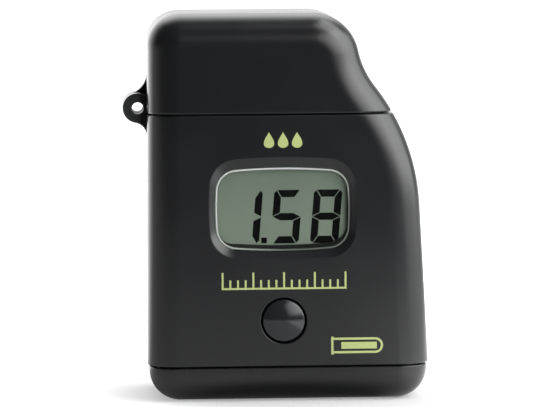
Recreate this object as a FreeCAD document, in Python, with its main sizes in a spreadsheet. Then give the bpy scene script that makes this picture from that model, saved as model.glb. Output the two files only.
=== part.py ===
"""Handheld chlorine meter with a flip-top lid, as a parametric document.

The origin is the middle of the flat base face. +Z is up, the front looks along -Y and +X is on the
right as seen from the front. Lengths are millimetres and angles are degrees.
"""
import FreeCAD, Part
import math
import os
import re
import Sketcher

Vector = FreeCAD.Vector
Rotation = FreeCAD.Rotation

SIZES = {
    # Case outline, seen from the front
    "case_height": 86.0,
    "case_width": 62.7,
    "case_depth": 37.5,
    "wall": 2.0,
    "edge_round": 6.9,
    "least_round": 0.4,
    "corner_share": 0.95,
    "lid_corner_round": 7.3,
    "base_corner_round": 7.4,
    "left_draft": 0.55,
    "side_draft": 2.83,
    "flank_round": 46.5,
    "waist_round": 19.7,
    "waist_angle": 37.94,
    "shoulder_round": 10.65,
    "shoulder_angle": 11.88,
    # Seams between base, case and lid
    "lid_seam": 63.8,
    "base_seam": 7.85,
    "seam_gap": 0.35,
    "seam_round": 0.3,
    "nick_x": -0.7,
    "nick_width": 0.7,
    "nick_depth": 0.6,
    "nick_height": 0.35,
    "overrun": 1.0,
    # Hinge and its see-through eye
    "hinge_out": 2.05,
    "hinge_lift": 0.95,
    "knuckle_radius": 3.35,
    "knuckle_length": 3.9,
    "knuckle_gap": 0.15,
    "knuckle_round": 0.35,
    "swing_gap": 0.3,
    "case_flare": 6.3,
    "lid_flare": 7.6,
    "eye_radius": 1.3,
    "eye_web": 1.5,
    "pin_radius": 2.1,
    "pin_fit": 0.05,
    # Display window, its recess in the front and the display behind it
    "window_x": -1.25,
    "window_z": 42.8,
    "window_width": 30.0,
    "window_tall": 18.65,
    "window_corner": 4.8,
    "window_long_bow": 130.0,
    "window_short_bow": 60.0,
    "recess_side": 1.3,
    "recess_top": 2.2,
    "recess_bottom": 1.8,
    "recess_depth": 0.85,
    "recess_round": 0.45,
    "window_fit": 0.12,
    "window_proud": 0.15,
    "window_bevel": 0.35,
    "window_flange": 1.8,
    "window_flange_thick": 0.8,
    "stack_gap": 0.05,
    "lcd_edge": 2.2,
    "lcd_thick": 2.2,
    "strip_depth": 1.1,
    "strip_height": 2.0,
    "strip_inset": 1.5,
    # Main board, its chip, posts and screws
    "board_thick": 1.6,
    "board_left": -22.25,
    "board_right": 17.95,
    "board_low": 12.0,
    "board_high": 59.2,
    "wing_left": -27.85,
    "wing_low": 24.0,
    "wing_high": 51.0,
    "post_inset": 2.4,
    "post_radius": 2.2,
    "post_bite": 3.2,
    "board_screw_radius": 0.8,
    "board_screw_fit": 0.1,
    "board_head_radius": 1.6,
    "board_head_thick": 1.0,
    "chip_side": 7.0,
    "chip_thick": 1.0,
    "chip_x": 8.35,
    "chip_z": 25.0,
    # Button and the switch behind it
    "button_x": -1.15,
    "button_z": 18.1,
    "button_radius": 4.65,
    "button_gap": 0.45,
    "hole_round": 0.2,
    "button_dome": 1.0,
    "button_edge_round": 0.45,
    "button_flange": 1.5,
    "button_flange_thick": 1.0,
    "button_seat_gap": 0.1,
    "button_travel": 0.5,
    "stem_radius": 1.8,
    "switch_side": 6.0,
    "switch_height": 2.0,
    "plunger_radius": 1.6,
    "plunger_fit": 0.1,
    "plunger_depth": 0.6,
    # Cuvette well, its deck under the lid and the seal around it
    "well_x": -9.15,
    "well_y": 3.0,
    "well_radius": 11.3,
    "well_wall": 1.5,
    "well_floor": 24.0,
    "well_floor_thick": 1.5,
    "well_chamfer": 0.6,
    "lid_fit": 0.45,
    "deck_rise": 2.0,
    "deck_thick": 2.0,
    "deck_wall": 1.5,
    "tongue_drop": 1.4,
    "tongue_thick": 1.2,
    "tongue_depth": 0.8,
    "tongue_fit": 0.1,
    "seal_inset": 1.7,
    "seal_thick": 0.3,
    # Light path across the well
    "port_z": 38.0,
    "port_radius": 2.5,
    "port_boss_radius": 4.2,
    "port_boss_length": 2.4,
    "port_disc_radius": 3.15,
    "port_disc_fit": 0.05,
    "port_disc_thick": 1.0,
    "lamp_radius": 1.5,
    "lamp_base_radius": 1.9,
    "lamp_base_thick": 0.7,
    "lamp_length": 2.8,
    "side_board_thick": 1.2,
    "side_board_tall": 14.0,
    "side_board_reach": 6.0,
    "sensor_side": 3.0,
    "sensor_thick": 1.2,
    "sensor_gap": 0.1,
    # Battery, its holder and contacts
    "cell_x": 15.85,
    "cell_y": 3.0,
    "cell_radius": 5.25,
    "cell_length": 44.5,
    "cell_crimp": 0.5,
    "cell_nub_radius": 1.9,
    "cell_nub": 0.8,
    "cell_fit": 0.3,
    "holder_wall": 1.0,
    "holder_roof": 1.2,
    "holder_rib": 1.6,
    "holder_rib_low": 20.0,
    "holder_rib_high": 45.0,
    "strip_thick": 0.3,
    "contact_width": 3.0,
    "contact_radius": 4.0,
    "contact_fit": 0.2,
    "tail_shift": 4.0,
    "negative_leg_z": 20.0,
    "foot_length": 1.95,
    # Base cap and the quarter-turn battery door in it
    "base_inset": 0.45,
    "base_floor": 2.0,
    "base_wall": 2.6,
    "base_fit": 0.15,
    "skirt_wall": 1.2,
    "skirt_root": 2.5,
    "skirt_rise": 3.0,
    "collar_wall": 1.2,
    "collar_high": 8.6,
    "collar_roof": 1.0,
    "door_radius": 7.2,
    "door_fit": 0.3,
    "door_recess": 0.4,
    "door_hub_radius": 6.6,
    "door_turn": 60.0,
    "lug_reach": 1.4,
    "lug_width": 4.0,
    "lug_thick": 1.0,
    "lug_fit": 0.1,
    "coin_slot_width": 1.6,
    "coin_slot_length": 10.0,
    "coin_slot_depth": 0.9,
    "spring_radius": 7.0,
    "spring_half_span": 4.5,
    "spring_rise": 1.0,
    # Case screws from the back
    "screw_edge": 2.7,
    "screw_low": 15.2,
    "screw_high": 55.5,
    "screw_boss_radius": 3.0,
    "screw_sink": 10.0,
    "screw_radius": 1.1,
    "screw_length": 14.0,
    "screw_fit": 0.1,
    "screw_head_radius": 2.1,
    "screw_head_thick": 1.5,
    "screw_cross_share": 0.6,
    "screw_cross_width": 0.6,
    "screw_cross_depth": 0.7,
}

doc = FreeCAD.newDocument("chlorine_meter")
sheet = doc.addObject("Spreadsheet::Sheet", "Sizes")
for row, (alias, number) in enumerate(SIZES.items(), start=1):
    sheet.set(f"A{row}", alias)
    sheet.set(f"B{row}", str(number))
    sheet.setAlias(f"B{row}", alias)
doc.recompute()

NODES = []

# Places that several pieces share, as formulas of the sizes
FRONT = "(-case_depth / 2)"
FRONT_INNER = "(-case_depth / 2 + wall)"
BACK = "(case_depth / 2)"
LID_LOW = "(lid_seam + seam_gap / 2)"
CASE_HIGH = "(lid_seam - seam_gap / 2)"
CASE_LOW = "(base_seam + seam_gap / 2)"
BASE_HIGH = "(base_seam - seam_gap / 2)"
AXIS_Z = "(lid_seam + hinge_lift)"
AXIS_X = f"(-case_width / 2 + ({AXIS_Z} - base_seam) * tan(left_draft) - hinge_out)"
LID_KNUCKLE_END = "(knuckle_length / 2)"
CASE_KNUCKLE_END = f"({LID_KNUCKLE_END} + knuckle_gap)"
EYE_END = f"({CASE_KNUCKLE_END} + knuckle_length)"
PIN_END = f"({EYE_END} - eye_web)"
LCD_FRONT = f"({FRONT_INNER} + window_flange_thick + stack_gap)"
LCD_BACK = f"({LCD_FRONT} + lcd_thick)"
BOARD_FRONT = f"({LCD_BACK} + strip_depth)"
BOARD_BACK = f"({BOARD_FRONT} + board_thick)"
DECK_TOP = "(lid_seam + deck_rise)"
TONGUE_HIGH = "(lid_seam - tongue_drop)"
TONGUE_LOW = f"({TONGUE_HIGH} - tongue_thick)"
WELL_OUTER = "(well_radius + well_wall)"
LUG_LOW = "(base_floor + lug_fit)"
LUG_HIGH = f"({LUG_LOW} + lug_thick)"
LUG_RADIUS = "(door_radius + lug_reach)"
SPRING_HIGH = f"({LUG_HIGH} + strip_thick + spring_rise)"
CELL_LOW = f"({SPRING_HIGH} + stack_gap)"
CELL_HIGH = f"({CELL_LOW} + cell_length)"
CONTACT_LOW = f"({CELL_HIGH} + stack_gap)"
CONTACT_HIGH = f"({CONTACT_LOW} + strip_thick)"
HOLDER_INNER = "(cell_radius + cell_fit)"
HOLDER_OUTER = f"({HOLDER_INNER} + holder_wall)"
COLLAR_INNER = f"({LUG_RADIUS} + door_fit)"


def cells(text):
    """Turn each size name in a formula into its spreadsheet cell."""
    return re.sub(r"[a-z_]+", lambda word: "Sizes." + word[0] if word[0] in SIZES else word[0], text)


def value(text):
    """Number that a formula gives now."""
    return float(sheet.evalExpression(cells(text)))


def bind(thing, formulas):
    """Tie properties of an object to formulas of the sizes."""
    for name, text in formulas.items():
        thing.setExpression(name, cells(text))


def node(piece, name):
    """Keep a finished sub-part under its own name."""
    piece.Label = name
    NODES.append(piece)


def block(name, x, y, z):
    """Box between a low and a high formula along each axis."""
    box = doc.addObject("Part::Box", name)
    for side, letter, (low, high) in (("Length", "x", x), ("Width", "y", y), ("Height", "z", z)):
        bind(box, {side: f"({high}) - ({low})", f"Placement.Base.{letter}": low})
    return box


def rod(name, axis, radius, centre, low, high):
    """Cylinder along an axis from low to high. The centre has 0 in the axis's own place."""
    cylinder = doc.addObject("Part::Cylinder", name)
    turns = {"x": Rotation(Vector(0, 1, 0), 90), "y": Rotation(Vector(1, 0, 0), -90), "z": Rotation()}
    cylinder.Placement = FreeCAD.Placement(Vector(), turns[axis])
    bind(cylinder, {"Radius": radius, "Height": f"({high}) - ({low})"})
    for letter, place in zip("xyz", centre):
        bind(cylinder, {f"Placement.Base.{letter}": low if letter == axis else place})
    return cylinder


def level(name, low, high):
    """Slice of space between two heights, wider than the case."""
    return block(name, ("-case_width", "case_width"), ("-case_depth", "case_depth"), (low, high))


def joined(name, pieces):
    """Union of pieces, which may also stand apart as one group."""
    union = doc.addObject("Part::MultiFuse", name)
    union.Shapes = pieces
    union.Refine = True
    return union


def without(name, base, tools):
    """Base with every tool cut out of it."""
    cut = doc.addObject("Part::Cut", name)
    cut.Base = base
    cut.Tool = tools[0] if len(tools) == 1 else joined(name + "_tools", tools)
    cut.Refine = True
    return cut


def shared(name, one, other):
    """Space that two pieces share."""
    common = doc.addObject("Part::Common", name)
    common.Base = one
    common.Tool = other
    return common


def softened(name, base, radius, wanted):
    """Base with the edges that pass a test rounded."""
    doc.recompute()
    fillet = doc.addObject("Part::Fillet", name)
    fillet.Base = base
    size = value(radius)
    picked = [index for index, edge in enumerate(base.Shape.Edges, start=1) if wanted(edge)]
    fillet.Edges = [(index, size, size) for index in picked]
    return fillet


def at_heights(*heights):
    """Test for edges that lie level at one of the given heights."""
    marks = [value(height) for height in heights]
    tolerance = value("stack_gap")
    return lambda edge: any(
        max(abs(edge.BoundBox.ZMin - mark), abs(edge.BoundBox.ZMax - mark)) < tolerance for mark in marks)


def at_depth(depth):
    """Test for edges that lie upright at a given depth from front to back."""
    mark = value(depth)
    tolerance = value("stack_gap")
    return lambda edge: max(abs(edge.BoundBox.YMin - mark), abs(edge.BoundBox.YMax - mark)) < tolerance


def origin_plane(body, role):
    """One of a body's own base planes."""
    return next(plane for plane in body.Origin.OriginFeatures if plane.Role == role + "_Plane")


def new_sketch(body, name, plane, offset):
    """Empty sketch on a body's base plane, moved along the plane's normal."""
    sketch = body.newObject("Sketcher::SketchObject", name)
    sketch.AttachmentSupport = [(origin_plane(body, plane), "")]
    sketch.MapMode = "FlatFace"
    bind(sketch, {"AttachmentOffset.Base.z": offset})
    return sketch


def place_point(sketch, geometry, end, spot):
    """Dimension one point of a sketch from the sketch's origin."""
    for kind, axis, text in (("DistanceX", -2, spot[0]), ("DistanceY", -1, spot[1])):
        if text == "0":
            sketch.addConstraint(Sketcher.Constraint("PointOnObject", geometry, end, axis))
        else:
            rule = Sketcher.Constraint(kind, -1, 1, geometry, end, value(text))
            bind(sketch, {f"Constraints[{sketch.addConstraint(rule)}]": text})


def draw(sketch, corners):
    """Closed outline through the corners, fully dimensioned.

    A corner is (x, y), or (x, y, radius, centre x, centre y, turn) where the stretch that leaves it is
    an arc: turn is 1 where the arc runs counterclockwise and -1 where it runs clockwise.
    """
    spots = [Vector(value(corner[0]), value(corner[1]), 0) for corner in corners]
    ends = []
    for index, corner in enumerate(corners):
        here = spots[index]
        there = spots[(index + 1) % len(corners)]
        if len(corner) == 2:
            sketch.addGeometry(Part.LineSegment(here, there))
            ends.append((1, 2))
            continue
        radius, centre_x, centre_y, turn = corner[2:]
        centre = Vector(value(centre_x), value(centre_y), 0)
        first, last = (here, there) if turn > 0 else (there, here)
        angles = [math.atan2(spot.y - centre.y, spot.x - centre.x) for spot in (first, last)]
        circle = Part.Circle(centre, Vector(0, 0, 1), value(radius))
        sketch.addGeometry(Part.ArcOfCircle(circle, *angles))
        ends.append((1, 2) if turn > 0 else (2, 1))
    for index, corner in enumerate(corners):
        after = (index + 1) % len(corners)
        sketch.addConstraint(Sketcher.Constraint("Coincident", index, ends[index][1], after, ends[after][0]))
    for index, corner in enumerate(corners):
        place_point(sketch, index, ends[index][0], corner)
        if len(corner) > 2:
            rule = Sketcher.Constraint("Radius", index, value(corner[2]))
            bind(sketch, {f"Constraints[{sketch.addConstraint(rule)}]": corner[2]})


def padded(body, sketch, thickness):
    """Sketch given a thickness, half to each side."""
    pad = body.newObject("PartDesign::Pad", sketch.Name + "_pad")
    pad.Profile = sketch
    pad.SideType = "Symmetric"
    bind(pad, {"Length": thickness})
    return pad


def prism(name, plane, corners, low, high):
    """Outline on a base plane carried from low to high along the axis across that plane."""
    body = doc.addObject("PartDesign::Body", name)
    sign = "-" if plane == "XZ" else ""
    sketch = new_sketch(body, name + "_outline", plane, f"{sign}(({low}) + ({high})) / 2")
    draw(sketch, corners)
    padded(body, sketch, f"({high}) - ({low})")
    return body


def turned(name, axis, corners, centre):
    """Round piece: (radius, place along the axis) corners turned about an axis through the centre."""
    body = doc.addObject("PartDesign::Body", name)
    sketch = new_sketch(body, name + "_half", "XY", "0")
    draw(sketch, corners)
    turning = body.newObject("PartDesign::Revolution", name + "_turning")
    turning.Profile = sketch
    turning.ReferenceAxis = (sketch, ["V_Axis"])
    turns = {"x": Rotation(Vector(0, 0, 1), -90), "y": Rotation(), "z": Rotation(Vector(1, 0, 0), 90)}
    body.Placement = FreeCAD.Placement(Vector(), turns[axis])
    for letter, place in zip("xyz", centre):
        bind(body, {f"Placement.Base.{letter}": place})
    return body


# Centres of the right side's arcs, from the base up: flank, waist, shoulder
FLANK_TOP = (
    "(case_height - shoulder_round * (1 - sin(shoulder_angle))"
    " - waist_round * (sin(waist_angle) - sin(shoulder_angle))"
    " - flank_round * (sin(waist_angle) - sin(side_draft)))")
FLANK_X = f"(case_width / 2 - ({FLANK_TOP} - base_seam) * tan(side_draft) - flank_round * cos(side_draft))"
FLANK_Z = f"({FLANK_TOP} - flank_round * sin(side_draft))"
WAIST_X = f"({FLANK_X} + (flank_round + waist_round) * cos(waist_angle))"
WAIST_Z = f"({FLANK_Z} + (flank_round + waist_round) * sin(waist_angle))"
SHOULDER_X = f"({WAIST_X} - (waist_round + shoulder_round) * cos(shoulder_angle))"
SHOULDER_Z = "(case_height - shoulder_round)"


def from_centre(x, z, radius, angle):
    """Point at a radius and angle from a centre."""
    return f"{x} + ({radius}) * cos({angle})", f"{z} + ({radius}) * sin({angle})"


def left_wall(height):
    """Place across of the leaning left wall at a height."""
    return f"(-case_width / 2 + ({height} - base_seam) * tan(left_draft))"


def form_outline(inset, floor):
    """Front outline of the meter, drawn in by an inset and standing on a floor height."""
    corner = f"(base_corner_round - {inset})"
    low = f"({floor} + {corner})"
    left_x = f"({left_wall(low)} + base_corner_round / cos(left_draft))"
    right_x = (
        f"(case_width / 2 - (base_corner_round + ({low} - base_seam) * sin(side_draft)) / cos(side_draft))")
    top_z = "(case_height - lid_corner_round)"
    top_x = f"({left_wall(top_z)} + lid_corner_round / cos(left_draft))"
    flank = f"(flank_round - {inset})"
    waist = f"(waist_round + {inset})"
    shoulder = f"(shoulder_round - {inset})"
    lid_corner = f"(lid_corner_round - {inset})"
    return [
        (left_x, floor),
        (right_x, floor, corner, right_x, low, 1),
        from_centre(right_x, low, corner, "side_draft"),
        (*from_centre(FLANK_X, FLANK_Z, flank, "side_draft"), flank, FLANK_X, FLANK_Z, 1),
        (*from_centre(FLANK_X, FLANK_Z, flank, "waist_angle"), waist, WAIST_X, WAIST_Z, -1),
        (*from_centre(SHOULDER_X, SHOULDER_Z, shoulder, "shoulder_angle"),
         shoulder, SHOULDER_X, SHOULDER_Z, 1),
        (SHOULDER_X, f"case_height - {inset}"),
        (top_x, f"case_height - {inset}", lid_corner, top_x, top_z, 1),
        from_centre(top_x, top_z, lid_corner, "(180 - left_draft)"),
        (*from_centre(left_x, low, corner, "(180 - left_draft)"), corner, left_x, low, 1),
    ]


def form(name, inset, floor=None):
    """Whole rounded form of the meter, drawn in all round by an inset."""
    body = doc.addObject("PartDesign::Body", name)
    sketch = new_sketch(body, name + "_outline", "XZ", "0")
    draw(sketch, form_outline(f"({inset})", floor or f"({inset})"))
    pad = padded(body, sketch, f"case_depth - 2 * ({inset})")
    doc.recompute()
    fillet = body.newObject("PartDesign::Fillet", name + "_round")
    ends = [index for index, face in enumerate(pad.Shape.Faces, start=1)
            if face.BoundBox.YLength < value("stack_gap")]
    fillet.Base = (pad, [f"Face{index}" for index in ends])
    limit = "min(edge_round; corner_share * base_corner_round; corner_share * lid_corner_round)"
    bind(fillet, {"Radius": f"max({limit} - ({inset}); least_round)"})
    return body


def window_outline(body, name, offset, grow_side, grow_top, grow_bottom):
    """Bowed window outline with round corners, grown at its sides, top and bottom."""
    sketch = new_sketch(body, name, "XZ", f"-({offset})")
    half_width = f"(window_width / 2 + {grow_side})"
    half_tall = f"(window_tall / 2 + ({grow_top} + {grow_bottom}) / 2)"
    middle_z = f"(window_z + ({grow_top} - {grow_bottom}) / 2)"
    corner = f"(window_corner + {grow_side})"
    right = (f"window_x + {half_width} - window_short_bow", middle_z)
    left = (f"window_x - {half_width} + window_short_bow", middle_z)
    top = ("window_x", f"{middle_z} + {half_tall} - window_long_bow")
    bottom = ("window_x", f"{middle_z} - {half_tall} + window_long_bow")

    # Corner centre to the upper right of the middle: where two circles about the bows' centres meet
    rise = value(top[1]) - value(middle_z)
    run = value(right[0]) - value("window_x")
    near_top = value(f"window_long_bow - {corner}")
    near_side = value(f"window_short_bow - {corner}")
    apart = math.hypot(run, rise)
    along = (near_side ** 2 - near_top ** 2 + apart ** 2) / (2 * apart)
    across = math.sqrt(near_side ** 2 - along ** 2)
    corner_x = run - along * run / apart - across * rise / apart
    corner_z = along * rise / apart - across * run / apart
    turn_low = math.atan2(corner_z, corner_x - run)
    turn_high = math.atan2(corner_z - rise, corner_x)

    quarter = math.pi / 2
    middle = Vector(value("window_x"), value(middle_z), 0)
    tilt = turn_high - turn_low
    arcs = []
    for index, (mark_x, mark_z) in enumerate(((1, 1), (-1, 1), (-1, -1), (1, -1))):
        side = (right, top, left, bottom)[index]
        bow = "window_long_bow" if index % 2 else "window_short_bow"
        half = turn_low if index % 2 == 0 else quarter - turn_high
        arcs.append((Vector(value(side[0]), value(side[1]), 0), value(bow),
                     index * quarter - half, index * quarter + half))
        start = index * quarter + half
        arcs.append((middle + Vector(mark_x * corner_x, mark_z * corner_z, 0), value(corner),
                     start, start + tilt))
    for centre, radius, start, stop in arcs:
        circle = Part.Circle(centre, Vector(0, 0, 1), radius)
        sketch.addGeometry(Part.ArcOfCircle(circle, start, stop))
    for index in range(len(arcs)):
        after = (index + 1) % len(arcs)
        sketch.addConstraint(Sketcher.Constraint("Tangent", index, 2, after, 1))
    for index, spot in ((0, right), (2, top), (4, left), (6, bottom)):
        place_point(sketch, index, 3, spot)
    for index, text in ((0, "window_short_bow"), (2, "window_long_bow"), (1, corner)):
        rule = Sketcher.Constraint("Radius", index, value(text))
        bind(sketch, {f"Constraints[{sketch.addConstraint(rule)}]": text})
    for one, other in ((0, 4), (2, 6), (1, 3), (1, 5), (1, 7)):
        sketch.addConstraint(Sketcher.Constraint("Equal", one, other))
    return sketch


# Whole forms that the casings are cut from
outer_form = form("outer_form", "0")
core_form = form("core_form", "wall / 2")
cavity_form = form("cavity_form", "wall")


def by_axis(out, up):
    """Point out from the hinge axis and up along the leaning wall."""
    return (f"{AXIS_X} + ({out}) * cos(left_draft) + ({up}) * sin(left_draft)",
            f"{AXIS_Z} - ({out}) * sin(left_draft) + ({up}) * cos(left_draft)")


def knuckle(name, low, high, flare, side, end_z):
    """Hinge knuckle along Y with the flared web that ties it to the wall; side is 1 up and -1 down."""
    barrel = rod(name + "_barrel", "y", "knuckle_radius", (AXIS_X, "0", AXIS_Z), low, high)
    flare_round = f"((hinge_out^2 + {flare}^2 - knuckle_radius^2) / (2 * (knuckle_radius + hinge_out)))"
    reach = f"(knuckle_radius / (knuckle_radius + {flare_round}))"
    tip = f"({side} * {flare})"
    web = prism(name + "_web", "XZ", [
        (AXIS_X, AXIS_Z),
        (*by_axis(f"(hinge_out - {flare_round}) * {reach}", f"{tip} * {reach}"),
         flare_round, *by_axis(f"hinge_out - {flare_round}", tip), side),
        by_axis("hinge_out", tip),
        by_axis("hinge_out + wall / 2", tip),
        (f"{AXIS_X} + hinge_out + wall / 2", end_z),
    ], low, high)
    return joined(name, [barrel, web])


def swing_room(name, low, high):
    """Room around the hinge axis for a turning knuckle."""
    return rod(name, "y", "knuckle_radius + swing_gap", (AXIS_X, "0", AXIS_Z), low, high)


def make_lid():
    """Flip-top lid: hollow shell, notched for the case's knuckles, with the middle knuckle."""
    lid_block = shared("lid_block", outer_form, level("lid_zone", LID_LOW, "case_height + overrun"))
    lid_skin = softened("lid_skin", lid_block, "seam_round", at_heights(LID_LOW))
    lid_shell = without("lid_shell", lid_skin, [
        cavity_form,
        swing_room("lid_front_notch", f"-{EYE_END} - knuckle_gap", f"-{LID_KNUCKLE_END}"),
        swing_room("lid_rear_notch", LID_KNUCKLE_END, f"{EYE_END} + knuckle_gap"),
    ])
    middle = knuckle("lid_knuckle", f"-{LID_KNUCKLE_END}", LID_KNUCKLE_END, "lid_flare", 1,
                     f"{LID_LOW} + seam_round")
    solid = joined("lid_solid", [lid_shell, middle])
    bore = rod("lid_pin_bore", "y", "pin_radius + pin_fit", (AXIS_X, "0", AXIS_Z),
               f"-{LID_KNUCKLE_END} - overrun", f"{LID_KNUCKLE_END} + overrun")
    node(without("lid_bored", solid, [bore]), "lid")


def screw_places():
    """The four case screws' (x, z) places, a set distance inside the side walls."""
    left_low = f"({left_wall('screw_low')} + wall + screw_edge)"
    left_high = f"({left_wall('screw_high')} + wall + screw_edge)"
    right_low = "(case_width / 2 - (screw_low - base_seam) * tan(side_draft) - wall - screw_edge)"
    right_high = f"({FLANK_X} + sqrt(flank_round^2 - (screw_high - {FLANK_Z})^2) - wall - screw_edge)"
    return [(left_low, "screw_low"), (left_high, "screw_high"),
            (right_low, "screw_low"), (right_high, "screw_high")]


def post_places():
    """The four board screws' (x, z) places, a set distance inside the board's corners."""
    return [(x, z) for x in ("(board_left + post_inset)", "(board_right - post_inset)")
            for z in ("(board_low + post_inset)", "(board_high - post_inset)")]


def screw_bosses(name, low, high):
    """Round bosses for the case screws, ending inside the walls."""
    bosses = [rod(f"{name}_{index}", "y", "screw_boss_radius", (x, "0", z), low, high)
              for index, (x, z) in enumerate(screw_places())]
    return shared(name, joined(name + "_group", bosses), core_form)


def make_case():
    """Front and rear halves of the case between the two seams."""
    case_block = shared("case_block", outer_form, level("case_zone", CASE_LOW, CASE_HIGH))
    case_skin = softened("case_skin", case_block, "seam_round", at_heights(CASE_LOW, CASE_HIGH))
    groove = shared("tongue_groove", form("groove_form", "wall - tongue_depth - tongue_fit"),
                    level("groove_zone", f"{TONGUE_LOW} - tongue_fit", f"{TONGUE_HIGH} + tongue_fit"))
    nick = block("seam_nick", ("nick_x - nick_width / 2", "nick_x + nick_width / 2"),
                 (f"{FRONT} - overrun", f"{FRONT} + nick_depth"),
                 (f"{CASE_LOW} - overrun", f"{CASE_LOW} + nick_height"))
    sleeve = without("case_sleeve", case_skin, [
        cavity_form, groove, nick, swing_room("case_notch", f"-{CASE_KNUCKLE_END}", CASE_KNUCKLE_END)])

    front_half = shared("front_half", sleeve, block(
        "front_zone", ("-case_width", "case_width"), ("-case_depth", "0"), ("0", "case_height")))
    rear_half = shared("rear_half", sleeve, block(
        "rear_zone", ("-case_width", "case_width"), ("0", "case_depth"), ("0", "case_height")))
    make_front_shell(front_half)
    make_rear_shell(rear_half)


def hinge_holes(name, low, high, pocket_low, pocket_high):
    """Through eye and wider pin pocket in one case knuckle."""
    centre = (AXIS_X, "0", AXIS_Z)
    return [rod(name + "_eye", "y", "eye_radius", centre, f"{low} - overrun", f"{high} + overrun"),
            rod(name + "_pocket", "y", "pin_radius + pin_fit", centre, pocket_low, pocket_high)]


def window_cut():
    """Sloping recess in the front and the opening through the wall behind it."""
    recess = doc.addObject("PartDesign::Body", "window_recess")
    rim = window_outline(recess, "recess_rim", FRONT, "recess_side", "recess_top", "recess_bottom")
    foot = window_outline(recess, "recess_foot", f"{FRONT} + recess_depth", "0", "0", "0")
    slope = recess.newObject("PartDesign::AdditiveLoft", "recess_slope")
    slope.Profile = rim
    slope.Sections = [foot]
    opening = doc.addObject("PartDesign::Body", "window_opening")
    middle = f"({FRONT} + {FRONT_INNER} + overrun) / 2"
    hole = window_outline(opening, "opening_outline", middle, "0", "0", "0")
    padded(opening, hole, "wall + overrun")
    inner = block("opening_zone", ("-case_width", "case_width"),
                  (f"{FRONT} + recess_depth", FRONT_INNER + " + overrun"), ("0", "case_height"))
    return [recess, shared("window_hole", opening, inner)]


def make_front_shell(front_half):
    """Front half: display recess, button hole, board posts, screw bosses and front knuckle."""
    posts = [rod(f"board_post_{index}", "y", "post_radius", (x, "0", z), f"{FRONT} + wall / 2", BOARD_FRONT)
             for index, (x, z) in enumerate(post_places())]
    front_knuckle = knuckle("front_knuckle", f"-{EYE_END}", f"-{CASE_KNUCKLE_END}", "case_flare", -1,
                            f"{CASE_HIGH} - seam_round")
    eased_knuckle = softened("front_knuckle_eased", front_knuckle, "knuckle_round", at_depth(f"-{EYE_END}"))
    bosses = screw_bosses("front_bosses", FRONT, "0")
    solid = joined("front_solid", [front_half, *posts, bosses, eased_knuckle])
    pilots = [rod(f"screw_pilot_{index}", "y", "screw_radius + screw_fit", (x, "0", z),
                  f"{BACK} - screw_sink - screw_length - screw_fit", "overrun")
              for index, (x, z) in enumerate(screw_places())]
    post_holes = [rod(f"post_hole_{index}", "y", "board_screw_radius + board_screw_fit", (x, "0", z),
                      f"{BOARD_FRONT} - post_bite", f"{BOARD_FRONT} + overrun")
                  for index, (x, z) in enumerate(post_places())]
    button_hole = rod("button_hole", "y", "button_radius + button_gap", ("button_x", "0", "button_z"),
                      f"{FRONT} - overrun", f"{FRONT_INNER} + overrun")
    holes = hinge_holes("front_hinge", f"-{EYE_END}", f"-{PIN_END}", f"-{PIN_END}",
                        f"-{CASE_KNUCKLE_END} + overrun")
    cut = without("front_cut", solid, [*window_cut(), *pilots, *post_holes, button_hole, *holes])

    rim_low = value("window_z - window_tall / 2 - recess_bottom")
    rim_high = value("window_z + window_tall / 2 + recess_top")
    rim_half = value("window_width / 2 + recess_side")
    tolerance = value("stack_gap")
    in_front = at_depth(FRONT)

    def on_rim(edge):
        """Edge of the recess in the front face."""
        spot = edge.CenterOfMass
        inside = rim_low - tolerance < spot.z < rim_high + tolerance
        return in_front(edge) and inside and abs(spot.x - value("window_x")) < rim_half + tolerance

    def on_hole(edge):
        """Edge of the button hole in the front face."""
        spot = edge.CenterOfMass
        aside = math.hypot(spot.x - value("button_x"), spot.z - value("button_z"))
        return in_front(edge) and aside < value("button_radius")

    rounded = softened("front_rounded", cut, "recess_round", on_rim)
    node(softened("front_eased", rounded, "hole_round", on_hole), "front_shell")


def make_rear_shell(rear_half):
    """Rear half: sunk screw holes and rear knuckle."""
    rear_knuckle = knuckle("rear_knuckle", CASE_KNUCKLE_END, EYE_END, "case_flare", -1,
                           f"{CASE_HIGH} - seam_round")
    eased_knuckle = softened("rear_knuckle_eased", rear_knuckle, "knuckle_round", at_depth(EYE_END))
    solid = joined("rear_solid", [rear_half, screw_bosses("rear_bosses", "0", BACK), eased_knuckle])
    seat = f"{BACK} - screw_sink"
    passages = [rod(f"screw_passage_{index}", "y", "screw_radius + screw_fit", (x, "0", z), "-overrun", BACK)
                for index, (x, z) in enumerate(screw_places())]
    sinks = [rod(f"screw_sink_{index}", "y", "screw_head_radius + screw_fit", (x, "0", z),
                 seat, f"{BACK} + overrun") for index, (x, z) in enumerate(screw_places())]
    holes = hinge_holes("rear_hinge", PIN_END, EYE_END, f"{CASE_KNUCKLE_END} - overrun", PIN_END)
    node(without("rear_cut", solid, [*passages, *sinks, *holes]), "rear_shell")


def make_hinge_pin():
    """Hollow pin held between the two case knuckles."""
    centre = (AXIS_X, "0", AXIS_Z)
    low = f"-{PIN_END} + pin_fit"
    high = f"{PIN_END} - pin_fit"
    outside = rod("pin_outside", "y", "pin_radius", centre, low, high)
    inside = rod("pin_inside", "y", "eye_radius", centre, f"{low} - overrun", f"{high} + overrun")
    node(without("pin_tube", outside, [inside]), "hinge_pin")


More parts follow.
